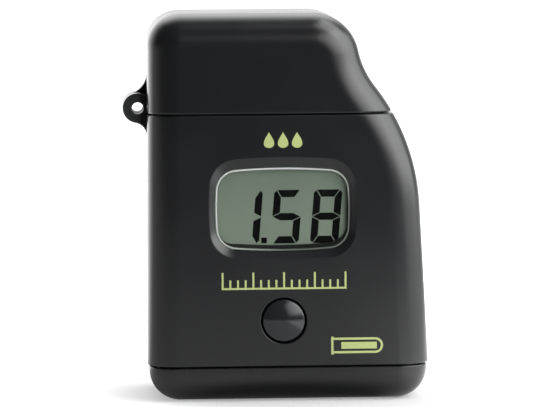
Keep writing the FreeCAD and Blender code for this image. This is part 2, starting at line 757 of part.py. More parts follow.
def make_case_screws():
    """Case screws in their sunk holes, with cross-shaped drives."""
    seat = f"{BACK} - screw_sink"
    top = "screw_head_thick"
    screws = []
    for index, (x, z) in enumerate(screw_places()):
        blank = turned(f"case_screw_blank_{index}", "y", [
            ("0", "-screw_length"), ("screw_radius", "-screw_length"), ("screw_radius", "0"),
            ("screw_head_radius", "0"), ("screw_head_radius", top), ("0", top)], (x, seat, z))
        reach = "(screw_head_radius * screw_cross_share)"
        half = "(screw_cross_width / 2)"
        depth = (f"{seat} + {top} - screw_cross_depth", f"{seat} + {top} + overrun")
        bars = [block(f"case_screw_bar_{index}_{way}", (f"{x} - {wide}", f"{x} + {wide}"), depth,
                      (f"{z} - {tall}", f"{z} + {tall}"))
                for way, (wide, tall) in enumerate(((reach, half), (half, reach)))]
        screws.append(without(f"case_screw_{index}", blank, bars))
    node(joined("case_screw_group", screws), "case_screws")


def make_display():
    """Clear window, display panel and its two contact strips."""
    window = doc.addObject("PartDesign::Body", "window_body")
    face_y = f"({FRONT} + recess_depth - window_proud)"
    raised = window_outline(window, "window_raised", f"({face_y} + {FRONT_INNER}) / 2",
                            "(-window_fit)", "(-window_fit)", "(-window_fit)")
    raised_pad = padded(window, raised, f"{FRONT_INNER} - {face_y}")
    doc.recompute()
    front_faces = [index for index, face in enumerate(raised_pad.Shape.Faces, start=1)
                   if face.BoundBox.YMax < value(face_y) + value("stack_gap")]
    bevel = window.newObject("PartDesign::Chamfer", "window_bevel_edge")
    bevel.Base = (raised_pad, [f"Face{index}" for index in front_faces])
    bind(bevel, {"Size": "window_bevel"})
    flange = window_outline(window, "window_flange_outline", f"{FRONT_INNER} + window_flange_thick / 2",
                            "window_flange", "window_flange", "window_flange")
    padded(window, flange, "window_flange_thick")
    node(window, "display_window")

    half_width = "(window_width / 2 + lcd_edge)"
    half_tall = "(window_tall / 2 + lcd_edge)"
    across = (f"window_x - {half_width}", f"window_x + {half_width}")
    node(block("lcd_glass", across, (LCD_FRONT, LCD_BACK),
               (f"window_z - {half_tall}", f"window_z + {half_tall}")), "lcd_panel")
    strip_across = (f"{across[0]} + strip_inset", f"{across[1]} - strip_inset")
    strips = [
        block("upper_strip", strip_across, (LCD_BACK, BOARD_FRONT),
              (f"window_z + {half_tall} - strip_height", f"window_z + {half_tall}")),
        block("lower_strip", strip_across, (LCD_BACK, BOARD_FRONT),
              (f"window_z - {half_tall}", f"window_z - {half_tall} + strip_height")),
    ]
    node(joined("strip_pair", strips), "lcd_connectors")


def make_main_board():
    """Main circuit board with its side wing, the chip on its back and its four screws."""
    plate = prism("board_plate", "XZ", [
        ("board_left", "board_low"), ("board_right", "board_low"),
        ("board_right", "board_high"), ("board_left", "board_high"),
        ("board_left", "wing_high"), ("wing_left", "wing_high"),
        ("wing_left", "wing_low"), ("board_left", "wing_low"),
    ], BOARD_FRONT, BOARD_BACK)
    holes = [rod(f"board_hole_{index}", "y", "board_screw_radius + board_screw_fit", (x, "0", z),
                 f"{BOARD_FRONT} - overrun", f"{BOARD_BACK} + overrun")
             for index, (x, z) in enumerate(post_places())]
    node(without("board_drilled", plate, holes), "main_board")
    half = "chip_side / 2"
    node(block("chip", (f"chip_x - {half}", f"chip_x + {half}"), (BOARD_BACK, f"{BOARD_BACK} + chip_thick"),
               (f"chip_z - {half}", f"chip_z + {half}")), "control_chip")
    tip = "(-board_thick - post_bite + board_screw_fit)"
    screws = [turned(f"board_screw_{index}", "y", [
        ("0", tip), ("board_screw_radius", tip), ("board_screw_radius", "0"),
        ("board_head_radius", "0"), ("board_head_radius", "board_head_thick"), ("0", "board_head_thick"),
    ], (x, BOARD_BACK, z)) for index, (x, z) in enumerate(post_places())]
    node(joined("board_screw_group", screws), "board_screws")


def make_button():
    """Domed button cap and the switch that it presses."""
    rim = FRONT
    dome_round = "((button_radius^2 + button_dome^2) / (2 * button_dome))"
    flange_radius = "(button_radius + button_gap + button_flange)"
    flange_front = f"({FRONT_INNER} + button_seat_gap)"
    flange_back = f"({flange_front} + button_flange_thick)"
    switch_front = f"({BOARD_FRONT} - switch_height)"
    plunger_front = f"({switch_front} - plunger_depth)"
    cap = turned("button_turned", "y", [
        ("0", f"{rim} - button_dome", dome_round, "0", f"{rim} - button_dome + {dome_round}", 1),
        ("button_radius", rim), ("button_radius", flange_front),
        (flange_radius, flange_front), (flange_radius, flange_back),
        ("stem_radius", flange_back), ("stem_radius", plunger_front), ("0", plunger_front),
    ], ("button_x", "0", "button_z"))
    doc.recompute()
    front = value(rim)
    tolerance = value("stack_gap")
    turning = cap.Tip
    edges = [index for index, edge in enumerate(turning.Shape.Edges, start=1)
             if edge.BoundBox.YLength < tolerance and abs(edge.BoundBox.YMin - front) < tolerance]
    soft_edge = cap.newObject("PartDesign::Fillet", "button_soft_edge")
    soft_edge.Base = (turning, [f"Edge{index}" for index in edges])
    bind(soft_edge, {"Radius": "button_edge_round"})
    node(cap, "button_cap")

    half = "switch_side / 2"
    centre = ("button_x", "0", "button_z")
    hole_end = f"{switch_front} + button_travel + plunger_depth + plunger_fit"
    housing = block("switch_block", (f"button_x - {half}", f"button_x + {half}"), (switch_front, BOARD_FRONT),
                    (f"button_z - {half}", f"button_z + {half}"))
    hole = rod("switch_hole", "y", "plunger_radius + plunger_fit", centre,
               f"{switch_front} - overrun", hole_end)
    node(without("switch_bored", housing, [hole]), "switch_housing")
    node(rod("plunger", "y", "plunger_radius", centre, plunger_front, f"{switch_front} + plunger_depth"),
         "switch_plunger")


def make_cuvette_holder():
    """Deck under the lid, held by a tongue in the case's groove, with the cuvette well below it."""
    deck_inset = "wall + lid_fit"
    deck = shared("deck_block", form("deck_form", deck_inset), level("deck_zone", TONGUE_LOW, DECK_TOP))
    tongue = shared("tongue_block", form("tongue_form", "wall - tongue_depth"),
                    level("tongue_zone", TONGUE_LOW, TONGUE_HIGH))
    hollow = shared("deck_hollow", form("deck_hollow_form", f"{deck_inset} + deck_wall"),
                    level("deck_hollow_zone", f"{TONGUE_LOW} - overrun", f"{DECK_TOP} - deck_thick"))
    plate = without("deck_plate", joined("deck_and_tongue", [deck, tongue]), [hollow])
    centre = ("well_x", "well_y", "0")
    tube = rod("well_tube", "z", WELL_OUTER, centre, "well_floor - well_floor_thick", DECK_TOP)
    boss_end = f"({WELL_OUTER} + port_boss_length)"
    boss = rod("port_boss", "x", "port_boss_radius", ("0", "well_y", "port_z"),
               f"well_x - {boss_end}", f"well_x + {boss_end}")
    bore = turned("well_bore", "z", [
        ("0", "well_floor"), ("well_radius", "well_floor"), ("well_radius", f"{DECK_TOP} - well_chamfer"),
        ("well_radius + well_chamfer", DECK_TOP), ("well_radius + well_chamfer", f"{DECK_TOP} + overrun"),
        ("0", f"{DECK_TOP} + overrun")], centre)
    port = rod("light_port", "x", "port_radius", ("0", "well_y", "port_z"),
               f"well_x - {WELL_OUTER} - overrun", f"well_x + {WELL_OUTER} + overrun")
    seats = [rod("left_seat", "x", "port_disc_radius + port_disc_fit", ("0", "well_y", "port_z"),
                 f"well_x - {boss_end} - overrun", f"well_x - {WELL_OUTER}"),
             rod("right_seat", "x", "port_disc_radius + port_disc_fit", ("0", "well_y", "port_z"),
                 f"well_x + {WELL_OUTER}", f"well_x + {boss_end} + overrun")]
    solid = joined("holder_solid", [plate, tube, boss])
    node(without("holder_bored", solid, [bore, port, *seats]), "cuvette_holder")

    seal_ring = shared("seal_block", form("seal_form", "seal_inset"),
                       level("seal_zone", CASE_HIGH, f"{CASE_HIGH} + seal_thick"))
    seal_hole = form("seal_inner_form", f"{deck_inset} - stack_gap")
    node(without("seal_ring", seal_ring, [seal_hole]), "light_seal")


def make_light_path():
    """Lamp, filter and sensor on either side of the well, with their boards."""
    middle = ("0", "well_y", "port_z")
    left = f"(well_x - {WELL_OUTER})"
    right = f"(well_x + {WELL_OUTER})"
    windows = [rod("left_window", "x", "port_disc_radius", middle, f"{left} - port_disc_thick", left),
               rod("right_window", "x", "port_disc_radius", middle, right, f"{right} + port_disc_thick")]
    node(joined("window_pair", windows), "well_windows")
    filter_low = f"({right} + port_disc_thick + stack_gap)"
    node(rod("filter_disc", "x", "port_disc_radius", middle, filter_low, f"{filter_low} + port_disc_thick"),
         "optical_filter")

    lamp_tip = f"({left} - port_disc_thick - sensor_gap)"
    lamp_foot = f"({lamp_tip} - lamp_length)"
    shank = "(lamp_length - lamp_radius)"
    node(turned("lamp", "x", [
        ("0", "0"), ("lamp_base_radius", "0"), ("lamp_base_radius", "lamp_base_thick"),
        ("lamp_radius", "lamp_base_thick"),
        ("lamp_radius", shank, "lamp_radius", "0", shank, 1),
        ("0", "lamp_length"),
    ], (lamp_foot, "well_y", "port_z")), "light_source")
    tall = ("port_z - side_board_tall / 2", "port_z + side_board_tall / 2")
    deep = (BOARD_BACK, "well_y + side_board_reach")
    node(block("emitter_plate", (f"{lamp_foot} - side_board_thick", lamp_foot), deep, tall), "emitter_board")

    sensor_front = f"({right} + port_boss_length + sensor_gap)"
    sensor_back = f"({sensor_front} + sensor_thick)"
    half = "sensor_side / 2"
    node(block("sensor", (sensor_front, sensor_back), (f"well_y - {half}", f"well_y + {half}"),
               (f"port_z - {half}", f"port_z + {half}")), "photodetector")
    node(block("detector_plate", (sensor_back, f"{sensor_back} + side_board_thick"), deep, tall),
         "detector_board")


def make_battery():
    """Battery cell, its holder and the two contact strips to the main board."""
    shoulder = "(cell_length - cell_nub)"
    centre = ("cell_x", "cell_y", "0")
    node(turned("cell", "z", [
        ("0", "0"), ("cell_radius - cell_crimp", "0"), ("cell_radius", "cell_crimp"),
        ("cell_radius", f"{shoulder} - cell_crimp"), ("cell_radius - cell_crimp", shoulder),
        ("cell_nub_radius", shoulder), ("cell_nub_radius", "cell_length"), ("0", "cell_length"),
    ], ("cell_x", "cell_y", CELL_LOW)), "battery_cell")

    half = "(contact_width / 2)"
    across = (f"cell_x - {half}", f"cell_x + {half}")
    tube = rod("holder_tube", "z", HOLDER_OUTER, centre, "collar_high", f"{CONTACT_HIGH} + holder_roof")
    rib = block("holder_rib", ("cell_x - holder_rib / 2", "cell_x + holder_rib / 2"),
                (f"cell_y + {HOLDER_INNER} + holder_wall / 2", f"{BACK} - wall - port_disc_fit"),
                ("holder_rib_low", "holder_rib_high"))
    room = rod("holder_room", "z", HOLDER_INNER, centre, "collar_high - overrun", CONTACT_HIGH)
    tail_across = (f"{across[0]} - tail_shift", f"{across[1]} - tail_shift")
    slot = block("holder_slot", (f"{tail_across[0]} - contact_fit", f"{tail_across[1]} + contact_fit"),
                 (f"cell_y - {HOLDER_OUTER} - overrun", "cell_y"),
                 (f"{CONTACT_LOW} - contact_fit", CONTACT_HIGH))
    node(without("holder_open", joined("holder_body", [tube, rib]), [room, slot]), "battery_holder")

    button = rod("contact_disc", "z", "contact_radius", centre, CONTACT_LOW, CONTACT_HIGH)
    tail = block("contact_tail", tail_across, (BOARD_BACK, "cell_y"), (CONTACT_LOW, CONTACT_HIGH))
    node(joined("contact_plate", [button, tail]), "positive_strip")

    front_y = f"(cell_y - {HOLDER_OUTER} - strip_thick - contact_fit / 2)"
    foot_low = f"({LUG_HIGH} + strip_thick + stack_gap)"
    node(prism("negative_bent", "YZ", [
        (f"{front_y} + foot_length", foot_low), (front_y, foot_low), (front_y, "negative_leg_z"),
        (BOARD_BACK, "negative_leg_z"), (BOARD_BACK, "negative_leg_z + strip_thick"),
        (f"{front_y} + strip_thick", "negative_leg_z + strip_thick"),
        (f"{front_y} + strip_thick", f"{foot_low} + strip_thick"),
        (f"{front_y} + foot_length", f"{foot_low} + strip_thick"),
    ], *across), "negative_strip")


def make_base():
    """Bottom cap with its skirt, and the collar around the battery door."""
    outside = shared("base_block", form("base_form", "base_inset", "0"),
                     level("base_zone", "-overrun", BASE_HIGH))
    skin = softened("base_skin", outside, "seam_round", at_heights(BASE_HIGH))
    hollow = form("base_hollow_form", "base_inset + base_wall", "base_floor")
    skirt_inset = "wall + base_fit"
    skirt_zone = level("skirt_zone", f"{BASE_HIGH} - skirt_root", "base_seam + skirt_rise")
    skirt = without("base_skirt", shared("skirt_block", form("skirt_form", skirt_inset), skirt_zone),
                    [form("skirt_hollow_form", f"{skirt_inset} + skirt_wall")])
    centre = ("cell_x", "cell_y", "0")
    collar_outer = f"{COLLAR_INNER} + collar_wall"
    collar = rod("door_collar", "z", collar_outer, centre, "base_floor / 2", "collar_high")
    collar_room = rod("collar_room", "z", COLLAR_INNER, centre, "base_floor", "collar_high - collar_roof")
    cell_way = rod("cell_way", "z", HOLDER_INNER, centre, "0", "collar_high + overrun")
    half = "(contact_width / 2 + contact_fit)"
    strip_way = block("strip_way", (f"cell_x - {half}", f"cell_x + {half}"),
                      (f"cell_y - {HOLDER_OUTER} - strip_thick - contact_fit", "cell_y"),
                      ("collar_high - collar_roof - overrun", "collar_high + overrun"))
    door_hole = rod("door_hole", "z", "door_radius + door_fit", centre, "-overrun", "base_floor + overrun")
    notch_half = "(lug_width / 2 + door_fit)"
    notch = prism("lug_notch", "XY", [
        (f"-{COLLAR_INNER}", f"-{notch_half}"), (COLLAR_INNER, f"-{notch_half}"),
        (COLLAR_INNER, notch_half), (f"-{COLLAR_INNER}", notch_half),
    ], "-overrun", "base_floor + overrun")
    notch.Placement = FreeCAD.Placement(Vector(), Rotation(Vector(0, 0, 1), -value("door_turn")))
    bind(notch, {"Placement.Base.x": "cell_x", "Placement.Base.y": "cell_y"})
    notch_round = rod("lug_notch_round", "z", COLLAR_INNER, centre, "-overrun", "base_floor + overrun")
    cup = without("base_cup", skin, [hollow])
    solid = joined("base_solid", [cup, skirt, collar])
    node(without("base_cut", solid, [
        collar_room, cell_way, strip_way, door_hole, shared("lug_ways", notch, notch_round)]), "base_cap")


def make_battery_door():
    """Quarter-turn door with two lugs and a coin slot, and the contact spring on it."""
    centre = ("cell_x", "cell_y", "0")
    disc = turned("door_disc", "z", [
        ("0", "door_recess"), ("door_radius", "door_recess"), ("door_radius", "base_floor"),
        ("door_hub_radius", "base_floor"), ("door_hub_radius", LUG_HIGH), ("0", LUG_HIGH)], centre)
    lug_bar = block("lug_bar", (f"cell_x - {LUG_RADIUS}", f"cell_x + {LUG_RADIUS}"),
                    ("cell_y - lug_width / 2", "cell_y + lug_width / 2"), (LUG_LOW, LUG_HIGH))
    lugs = shared("lugs", lug_bar, rod("lug_round", "z", LUG_RADIUS, centre, LUG_LOW, LUG_HIGH))
    coin_slot = block("coin_slot", ("cell_x - coin_slot_length / 2", "cell_x + coin_slot_length / 2"),
                      ("cell_y - coin_slot_width / 2", "cell_y + coin_slot_width / 2"),
                      ("door_recess - overrun", "door_recess + coin_slot_depth"))
    node(without("door_cut", joined("door_solid", [disc, lugs]), [coin_slot]), "battery_door")

    plate_high = f"({LUG_HIGH} + strip_thick)"
    plate = rod("spring_plate", "z", "spring_radius", centre, LUG_HIGH, plate_high)
    outer = "((spring_half_span^2 + spring_rise^2) / (2 * spring_rise))"
    inner = f"({outer} - strip_thick)"
    centre_z = f"({plate_high} + spring_rise - {outer})"
    drop = f"({plate_high} - strip_thick / 2)"
    outer_x = f"sqrt({outer}^2 - ({drop} - {centre_z})^2)"
    inner_x = f"sqrt({inner}^2 - ({drop} - {centre_z})^2)"
    arch = prism("spring_arch", "XZ", [
        (f"cell_x + {outer_x}", drop, outer, "cell_x", centre_z, 1),
        (f"cell_x - {outer_x}", drop),
        (f"cell_x - {inner_x}", drop, inner, "cell_x", centre_z, -1),
        (f"cell_x + {inner_x}", drop),
    ], "cell_y - contact_width / 2", "cell_y + contact_width / 2")
    node(joined("spring_leaf", [plate, arch]), "battery_spring")


def check_and_write():
    """Stop on any failed object, then write each sub-part to its own file."""
    doc.recompute()
    failed = [thing.Label for thing in doc.Objects if "Invalid" in thing.State or "Error" in thing.State]
    failed += [piece.Label for piece in NODES if piece.Shape.isNull() or not piece.Shape.isValid()]
    if failed:
        raise RuntimeError("failed objects: " + ", ".join(failed))
    os.makedirs("parts", exist_ok=True)
    for piece in NODES:
        print(f"{piece.Label}: {len(piece.Shape.Solids)} solids, {piece.Shape.Volume:.1f} mm3")
        piece.Shape.exportStep(f"parts/{piece.Label}.step")


make_case()
make_lid()
make_hinge_pin()
make_case_screws()
make_display()
make_main_board()
make_button()
make_cuvette_holder()
make_light_path()
make_battery()
make_base()
make_battery_door()
check_and_write()
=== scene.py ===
"""Looks of a handheld chlorine meter: its finishes, its display, its printed marks and a small studio.

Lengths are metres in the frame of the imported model: +Z is up, the front of the meter faces -Y.
"""
import logging
import math
from dataclasses import dataclass, field
from enum import Enum
from functools import cache

import bpy
import numpy as np
from bpy.types import Material, Node, NodeSocket, NodeTree, Object
from mathutils import Matrix, Vector


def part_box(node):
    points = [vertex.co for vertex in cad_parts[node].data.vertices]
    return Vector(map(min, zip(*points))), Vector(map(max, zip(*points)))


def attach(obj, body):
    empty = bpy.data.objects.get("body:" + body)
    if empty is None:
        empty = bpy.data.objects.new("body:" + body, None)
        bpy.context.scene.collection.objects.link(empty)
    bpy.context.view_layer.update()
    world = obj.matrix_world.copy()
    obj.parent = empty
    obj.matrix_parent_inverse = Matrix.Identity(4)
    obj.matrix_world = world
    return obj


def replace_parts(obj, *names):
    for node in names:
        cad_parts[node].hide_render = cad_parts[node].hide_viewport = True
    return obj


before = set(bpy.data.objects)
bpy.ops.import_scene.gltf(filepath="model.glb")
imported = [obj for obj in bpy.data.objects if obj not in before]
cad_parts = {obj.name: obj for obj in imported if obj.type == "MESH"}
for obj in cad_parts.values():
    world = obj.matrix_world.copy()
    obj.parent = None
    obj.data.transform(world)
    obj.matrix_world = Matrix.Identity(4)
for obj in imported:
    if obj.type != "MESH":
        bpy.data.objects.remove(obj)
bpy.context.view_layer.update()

MM = 0.001
NUMBER_RESULTS = ("LENGTH", "DISTANCE", "DOT_PRODUCT")  # of vector math
log = logging.getLogger("chlorine_meter")

Colour = tuple[float, float, float]
Spot = tuple[float, float, float]
Pair = tuple[float, float]


class BodyName(str, Enum):
    """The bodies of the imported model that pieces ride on."""

    HOUSING = "housing"
    BUTTON = "button"


class SlotName(str, Enum):
    """The record's material slots that new pieces take their finish from."""

    CASE = "case_plastic"
    WINDOW = "clear_window"
    DISPLAY = "display_glass"
    BUTTON = "button_plastic"


# ---- surfaces


def grid_faces(rows: int, columns: int, around: bool) -> np.ndarray:
    """Corner numbers of the four-sided faces between neighbouring rows and columns of a grid.

    Args:
        rows: Number of rows of points.
        columns: Number of points in a row.
        around: Whether the last column joins the first.

    Returns:
        Array of (faces, 4) point numbers.
    """
    steps = np.arange(columns if around else columns - 1)
    row, column = np.meshgrid(np.arange(rows - 1), steps, indexing="ij")
    here, below = row * columns, (row + 1) * columns
    after = (column + 1) % columns
    corners = [here + column, here + after, below + after, below + column]
    return np.stack([c.ravel() for c in corners], axis=1)


def outward(spots: np.ndarray, faces: np.ndarray) -> np.ndarray:
    """Four-sided faces, turned round if the volume they hold, the sum of a . (b x c) / 6, is below zero.

    Args:
        spots: (points, 3) points.
        faces: (faces, 4) point numbers.

    Returns:
        The faces, so turned that they look out.
    """
    a, b, c, d = (spots[faces[:, k]] for k in range(4))
    volume = np.einsum("ij,ij->i", a, np.cross(b, c) + np.cross(c, d)).sum() / 6
    return faces[:, ::-1] if volume < 0 else faces


def bar_solids(edges_low: np.ndarray, edges_high: np.ndarray, front: float,
               back: float) -> tuple[np.ndarray, list]:
    """Thin closed plates, each the ruled strip between two edge curves.

    A point is low(u) + v * (high(u) - low(u)) in the XZ plane. Each strip is given its thickness by a
    four-cornered section that goes round back, front, front, back as u runs along it, and both its ends
    are closed.

    Args:
        edges_low: (plates, points, 2) curve of x and z along one long edge of each plate.
        edges_high: The same for the other long edge.
        front: Y of the shown face.
        back: Y of the hidden face.

    Returns:
        Points (n, 3) and a list of faces.
    """
    plates, points, _ = edges_low.shape
    ring = np.empty((plates, points, 4, 3))
    for corner, (edge, depth) in enumerate(
        ((edges_low, back), (edges_low, front), (edges_high, front), (edges_high, back))
    ):
        ring[:, :, corner, 0] = edge[:, :, 0]
        ring[:, :, corner, 1] = depth
        ring[:, :, corner, 2] = edge[:, :, 1]
    sides = grid_faces(points, 4, True)
    ends = np.array([[3, 2, 1, 0], [0, 1, 2, 3]]) + np.array([[0], [(points - 1) * 4]])
    one = np.vstack([sides, ends])
    shift = (np.arange(plates) * points * 4)[:, None, None]
    faces = (one[None] + shift).reshape(-1, 4)
    spots = ring.reshape(-1, 3)
    return spots, outward(spots, faces).tolist()


def swept_ring(path: np.ndarray, normal: np.ndarray, profile: np.ndarray) -> tuple[np.ndarray, list]:
    """A closed profile carried round a closed path in the XZ plane.

    A point is path(u) + across(v) * normal(u) in XZ, with depth(v) as its Y.

    Args:
        path: (points, 2) x and z of the path.
        normal: (points, 2) vectors that point out of the path and scale the profile's across.
        profile: (corners, 2) across and depth of the profile's corners.

    Returns:
        Points (n, 3) and a list of faces.
    """
    flat = path[:, None, :] + profile[None, :, 0, None] * normal[:, None, :]
    depth = np.broadcast_to(profile[None, :, 1], flat.shape[:2])
    grid = np.stack([flat[:, :, 0], depth, flat[:, :, 1]], axis=2)
    rows, columns = grid.shape[:2]
    faces = grid_faces(rows + 1, columns, True) % (rows * columns)
    spots = grid.reshape(-1, 3)
    return spots, outward(spots, faces).tolist()


def new_piece(name: str, spots: np.ndarray, faces: list, smooth: bool = False) -> Object:
    """Makes an object at the origin from points and faces.

    Args:
        name: Name of the piece.
        spots: Its points.
        faces: Its faces.
        smooth: Whether its faces are shaded smooth.

    Returns:
        The new object.
    """
    mesh = bpy.data.meshes.new(name)
    mesh.from_pydata(spots.tolist(), [], faces)
    mesh.polygons.foreach_set("use_smooth", np.full(len(mesh.polygons), smooth))
    mesh.update()
    piece = bpy.data.objects.new(name, mesh)
    bpy.context.scene.collection.objects.link(piece)
    return piece


# ---- shared effects


class Effects:
    """Shader node groups that several finishes share, each built once."""

    fine_look: Pair = (3.0, 0.6)
    slow_look: Pair = (4.0, 0.5)
    drift_look: Pair = (5.0, 0.65)

    @staticmethod
    def start(name: str, inputs: dict[str, str], outputs: dict[str, str]) -> tuple[NodeTree, Node, Node]:
        """Makes an empty group with its sockets.

        Args:
            name: Name of the group.
            inputs: Socket kind by input name.
            outputs: Socket kind by output name.

        Returns:
            The tree, its input node and its output node.
        """
        tree = bpy.data.node_groups.new(name, "ShaderNodeTree")
        for way, sockets in (("INPUT", inputs), ("OUTPUT", outputs)):
            for label, kind in sockets.items():
                tree.interface.new_socket(label, in_out=way, socket_type="NodeSocket" + kind)
        return tree, tree.nodes.new("NodeGroupInput"), tree.nodes.new("NodeGroupOutput")

    @staticmethod
    def noise(tree: NodeTree, inward: Node, scale: str, look: Pair) -> NodeSocket:
        """Places a noise in a group.

        Args:
            tree: The group.
            inward: Its input node, which gives the place and the scale.
            scale: Name of the input with the scale.
            look: Detail and roughness of the noise.

        Returns:
            The socket with its level.
        """
        node = tree.nodes.new("ShaderNodeTexNoise")
        node.inputs["Detail"].default_value, node.inputs["Roughness"].default_value = look
        tree.links.new(inward.outputs["Vector"], node.inputs["Vector"])
        tree.links.new(inward.outputs[scale], node.inputs["Scale"])
        return node.outputs["Fac"]

    @classmethod
    @cache
    def grain(cls) -> NodeTree:
        """Moulded grain: fine spark-eroded height, and a slow patchy mask from handling.

        Returns:
            The group, with Height and Patch as outputs.
        """
        tree, inward, out = cls.start(
            "moulded_grain", {"Vector": "Vector", "Grain": "Float", "Patch": "Float"},
            {"Height": "Float", "Patch": "Float"})
        tree.links.new(cls.noise(tree, inward, "Grain", cls.fine_look), out.inputs["Height"])
        tree.links.new(cls.noise(tree, inward, "Patch", cls.slow_look), out.inputs["Patch"])
        return tree

    @classmethod
    @cache
    def tone(cls) -> NodeTree:
        """Tone drift: two close shades mixed by a slow noise.

        Returns:
            The group, with Colour as output.
        """
        tree, inward, out = cls.start(
            "tone_drift", {"Vector": "Vector", "First": "Color", "Second": "Color", "Patch": "Float"},
            {"Colour": "Color"})
        drift = cls.noise(tree, inward, "Patch", cls.drift_look)
        colour = mixed(tree, drift, inward.outputs["First"], inward.outputs["Second"])
        tree.links.new(colour, out.inputs["Colour"])
        return tree


def new_nodes(tree: NodeTree, *kinds: str) -> list[Node]:
    """Shader nodes of the given kinds, put into a tree."""
    return [tree.nodes.new("ShaderNode" + kind) for kind in kinds]


def mixed(tree: NodeTree, factor: NodeSocket, first: NodeSocket | Colour,
          second: NodeSocket | Colour) -> NodeSocket:
    """A colour between two others.

    Args:
        tree: The tree that the node goes into.
        factor: The socket with the share of the second colour.
        first: The socket with the first colour, or the colour.
        second: The same for the second colour.

    Returns:
        The socket with the colour.
    """
    node = tree.nodes.new("ShaderNodeMix")
    node.data_type = "RGBA"
    tree.links.new(factor, node.inputs["Factor"])
    sockets = [socket for socket in node.inputs if socket.type == "RGBA"]
    for socket, colour in zip(sockets, (first, second)):
        if isinstance(colour, tuple):
            socket.default_value = (*colour, 1)
        else:
            tree.links.new(colour, socket)
    return next(socket for socket in node.outputs if socket.type == "RGBA")


def faded(tree: NodeTree, value: NodeSocket, reach: Pair, levels: Pair, smooth: bool = True) -> NodeSocket:
    """A level that goes from one strength to another as a value crosses a reach.

    Args:
        tree: The tree that the node goes into.
        value: The socket that gives the value.
        reach: The value where the level starts to change and where it stops.
        levels: The strengths on either side.
        smooth: Whether the change is smooth, not straight.

    Returns:
        The socket with the level.
    """
    ramp = tree.nodes.new("ShaderNodeMapRange")
    ramp.interpolation_type = "SMOOTHSTEP" if smooth else "LINEAR"
    for label, number in zip(("From Min", "From Max", "To Min", "To Max"), (*reach, *levels)):
        ramp.inputs[label].default_value = number
    tree.links.new(value, ramp.inputs["Value"])
    return ramp.outputs["Result"]


def worked(tree: NodeTree, operation: str, first: NodeSocket, second: NodeSocket | float | Spot | None = None,
           kind: str = "Math") -> NodeSocket:
    """The result of a math node.

    Args:
        tree: The tree that the node goes into.
        operation: What the node does.
        first: The socket with the first value.
        second: The socket with the second value, or the value, if there is one.
        kind: Kind of the node.

    Returns:
        The socket with the result.
    """
    node = tree.nodes.new("ShaderNode" + kind)
    node.operation = operation
    tree.links.new(first, node.inputs[0])
    if isinstance(second, NodeSocket):
        tree.links.new(second, node.inputs[1])
    elif second is not None:
        node.inputs[1].default_value = second
    return node.outputs["Value" if kind == "Math" or operation in NUMBER_RESULTS else "Vector"]


def vectored(tree: NodeTree, operation: str, first: NodeSocket, second: Spot | None = None) -> NodeSocket:
    """The result of a vector math node, a vector or a number."""
    return worked(tree, operation, first, second, "VectorMath")


# ---- finishes


@dataclass(frozen=True)
class Finish:
    """A finish with two close shades, a patchy gloss and a fine relief."""

    name: str
    first: Colour
    second: Colour
    rough_low: float = 0.3
    rough_high: float = 0.4
    metallic: float = 0.0
    specular: float = 0.5
    grain: float = 5000.0
    relief: float = 0.00002
    bump: float = 0.15
    patch: float = 70.0
    patch_spread: Pair = (0.3, 0.7)
    tone_rate: float = 2.0
    coat: float = 0.0
    coat_rough: float = 0.2

    def start(self) -> tuple[Material, NodeTree, Node, Node]:
        """Makes an empty material with its shader and its Object coordinates.

        Returns:
            Material, tree, Principled node and Texture Coordinate node.
        """
        material = bpy.data.materials.new(self.name)
        material.use_nodes = True
        tree = material.node_tree
        shader = tree.nodes["Principled BSDF"]
        shader.inputs["Metallic"].default_value = self.metallic
        shader.inputs["Specular IOR Level"].default_value = self.specular
        if self.coat:
            shader.inputs["Coat Weight"].default_value = self.coat
            shader.inputs["Coat Roughness"].default_value = self.coat_rough
        return material, tree, shader, tree.nodes.new("ShaderNodeTexCoord")

    def lay_grain(self, tree: NodeTree, shader: Node, place: Node) -> None:
        """Feeds the shader's roughness and normal from the moulded grain.

        Args:
            tree: The material's tree.
            shader: Its Principled node.
            place: Its Texture Coordinate node.
        """
        grain = tree.nodes.new("ShaderNodeGroup")
        grain.node_tree = Effects.grain()
        grain.inputs["Grain"].default_value = self.grain
        grain.inputs["Patch"].default_value = self.patch
        rough = faded(tree, grain.outputs["Patch"], self.patch_spread, (self.rough_low, self.rough_high),
                      smooth=False)
        bump = tree.nodes.new("ShaderNodeBump")
        bump.inputs["Strength"].default_value = self.bump
        bump.inputs["Distance"].default_value = self.relief
        tree.links.new(place.outputs["Object"], grain.inputs["Vector"])
        tree.links.new(rough, shader.inputs["Roughness"])
        tree.links.new(grain.outputs["Height"], bump.inputs["Height"])
        tree.links.new(bump.outputs["Normal"], shader.inputs["Normal"])

    def lay_tone(self, tree: NodeTree, place: Node) -> NodeSocket:
        """Places the tone drift with this finish's two shades.

        Args:
            tree: The material's tree.
            place: Its Texture Coordinate node.

        Returns:
            The colour output.
        """
        tone = tree.nodes.new("ShaderNodeGroup")
        tone.node_tree = Effects.tone()
        tone.inputs["First"].default_value = (*self.first, 1)
        tone.inputs["Second"].default_value = (*self.second, 1)
        tone.inputs["Patch"].default_value = self.patch * self.tone_rate
        tree.links.new(place.outputs["Object"], tone.inputs["Vector"])
        return tone.outputs["Colour"]

    def material(self) -> Material:
        """Makes the finish, with tone, gloss and relief from its nodes.

        Returns:
            The material.
        """
        material, tree, shader, place = self.start()
        tree.links.new(self.lay_tone(tree, place), shader.inputs["Base Color"])
        self.lay_grain(tree, shader, place)
        return material


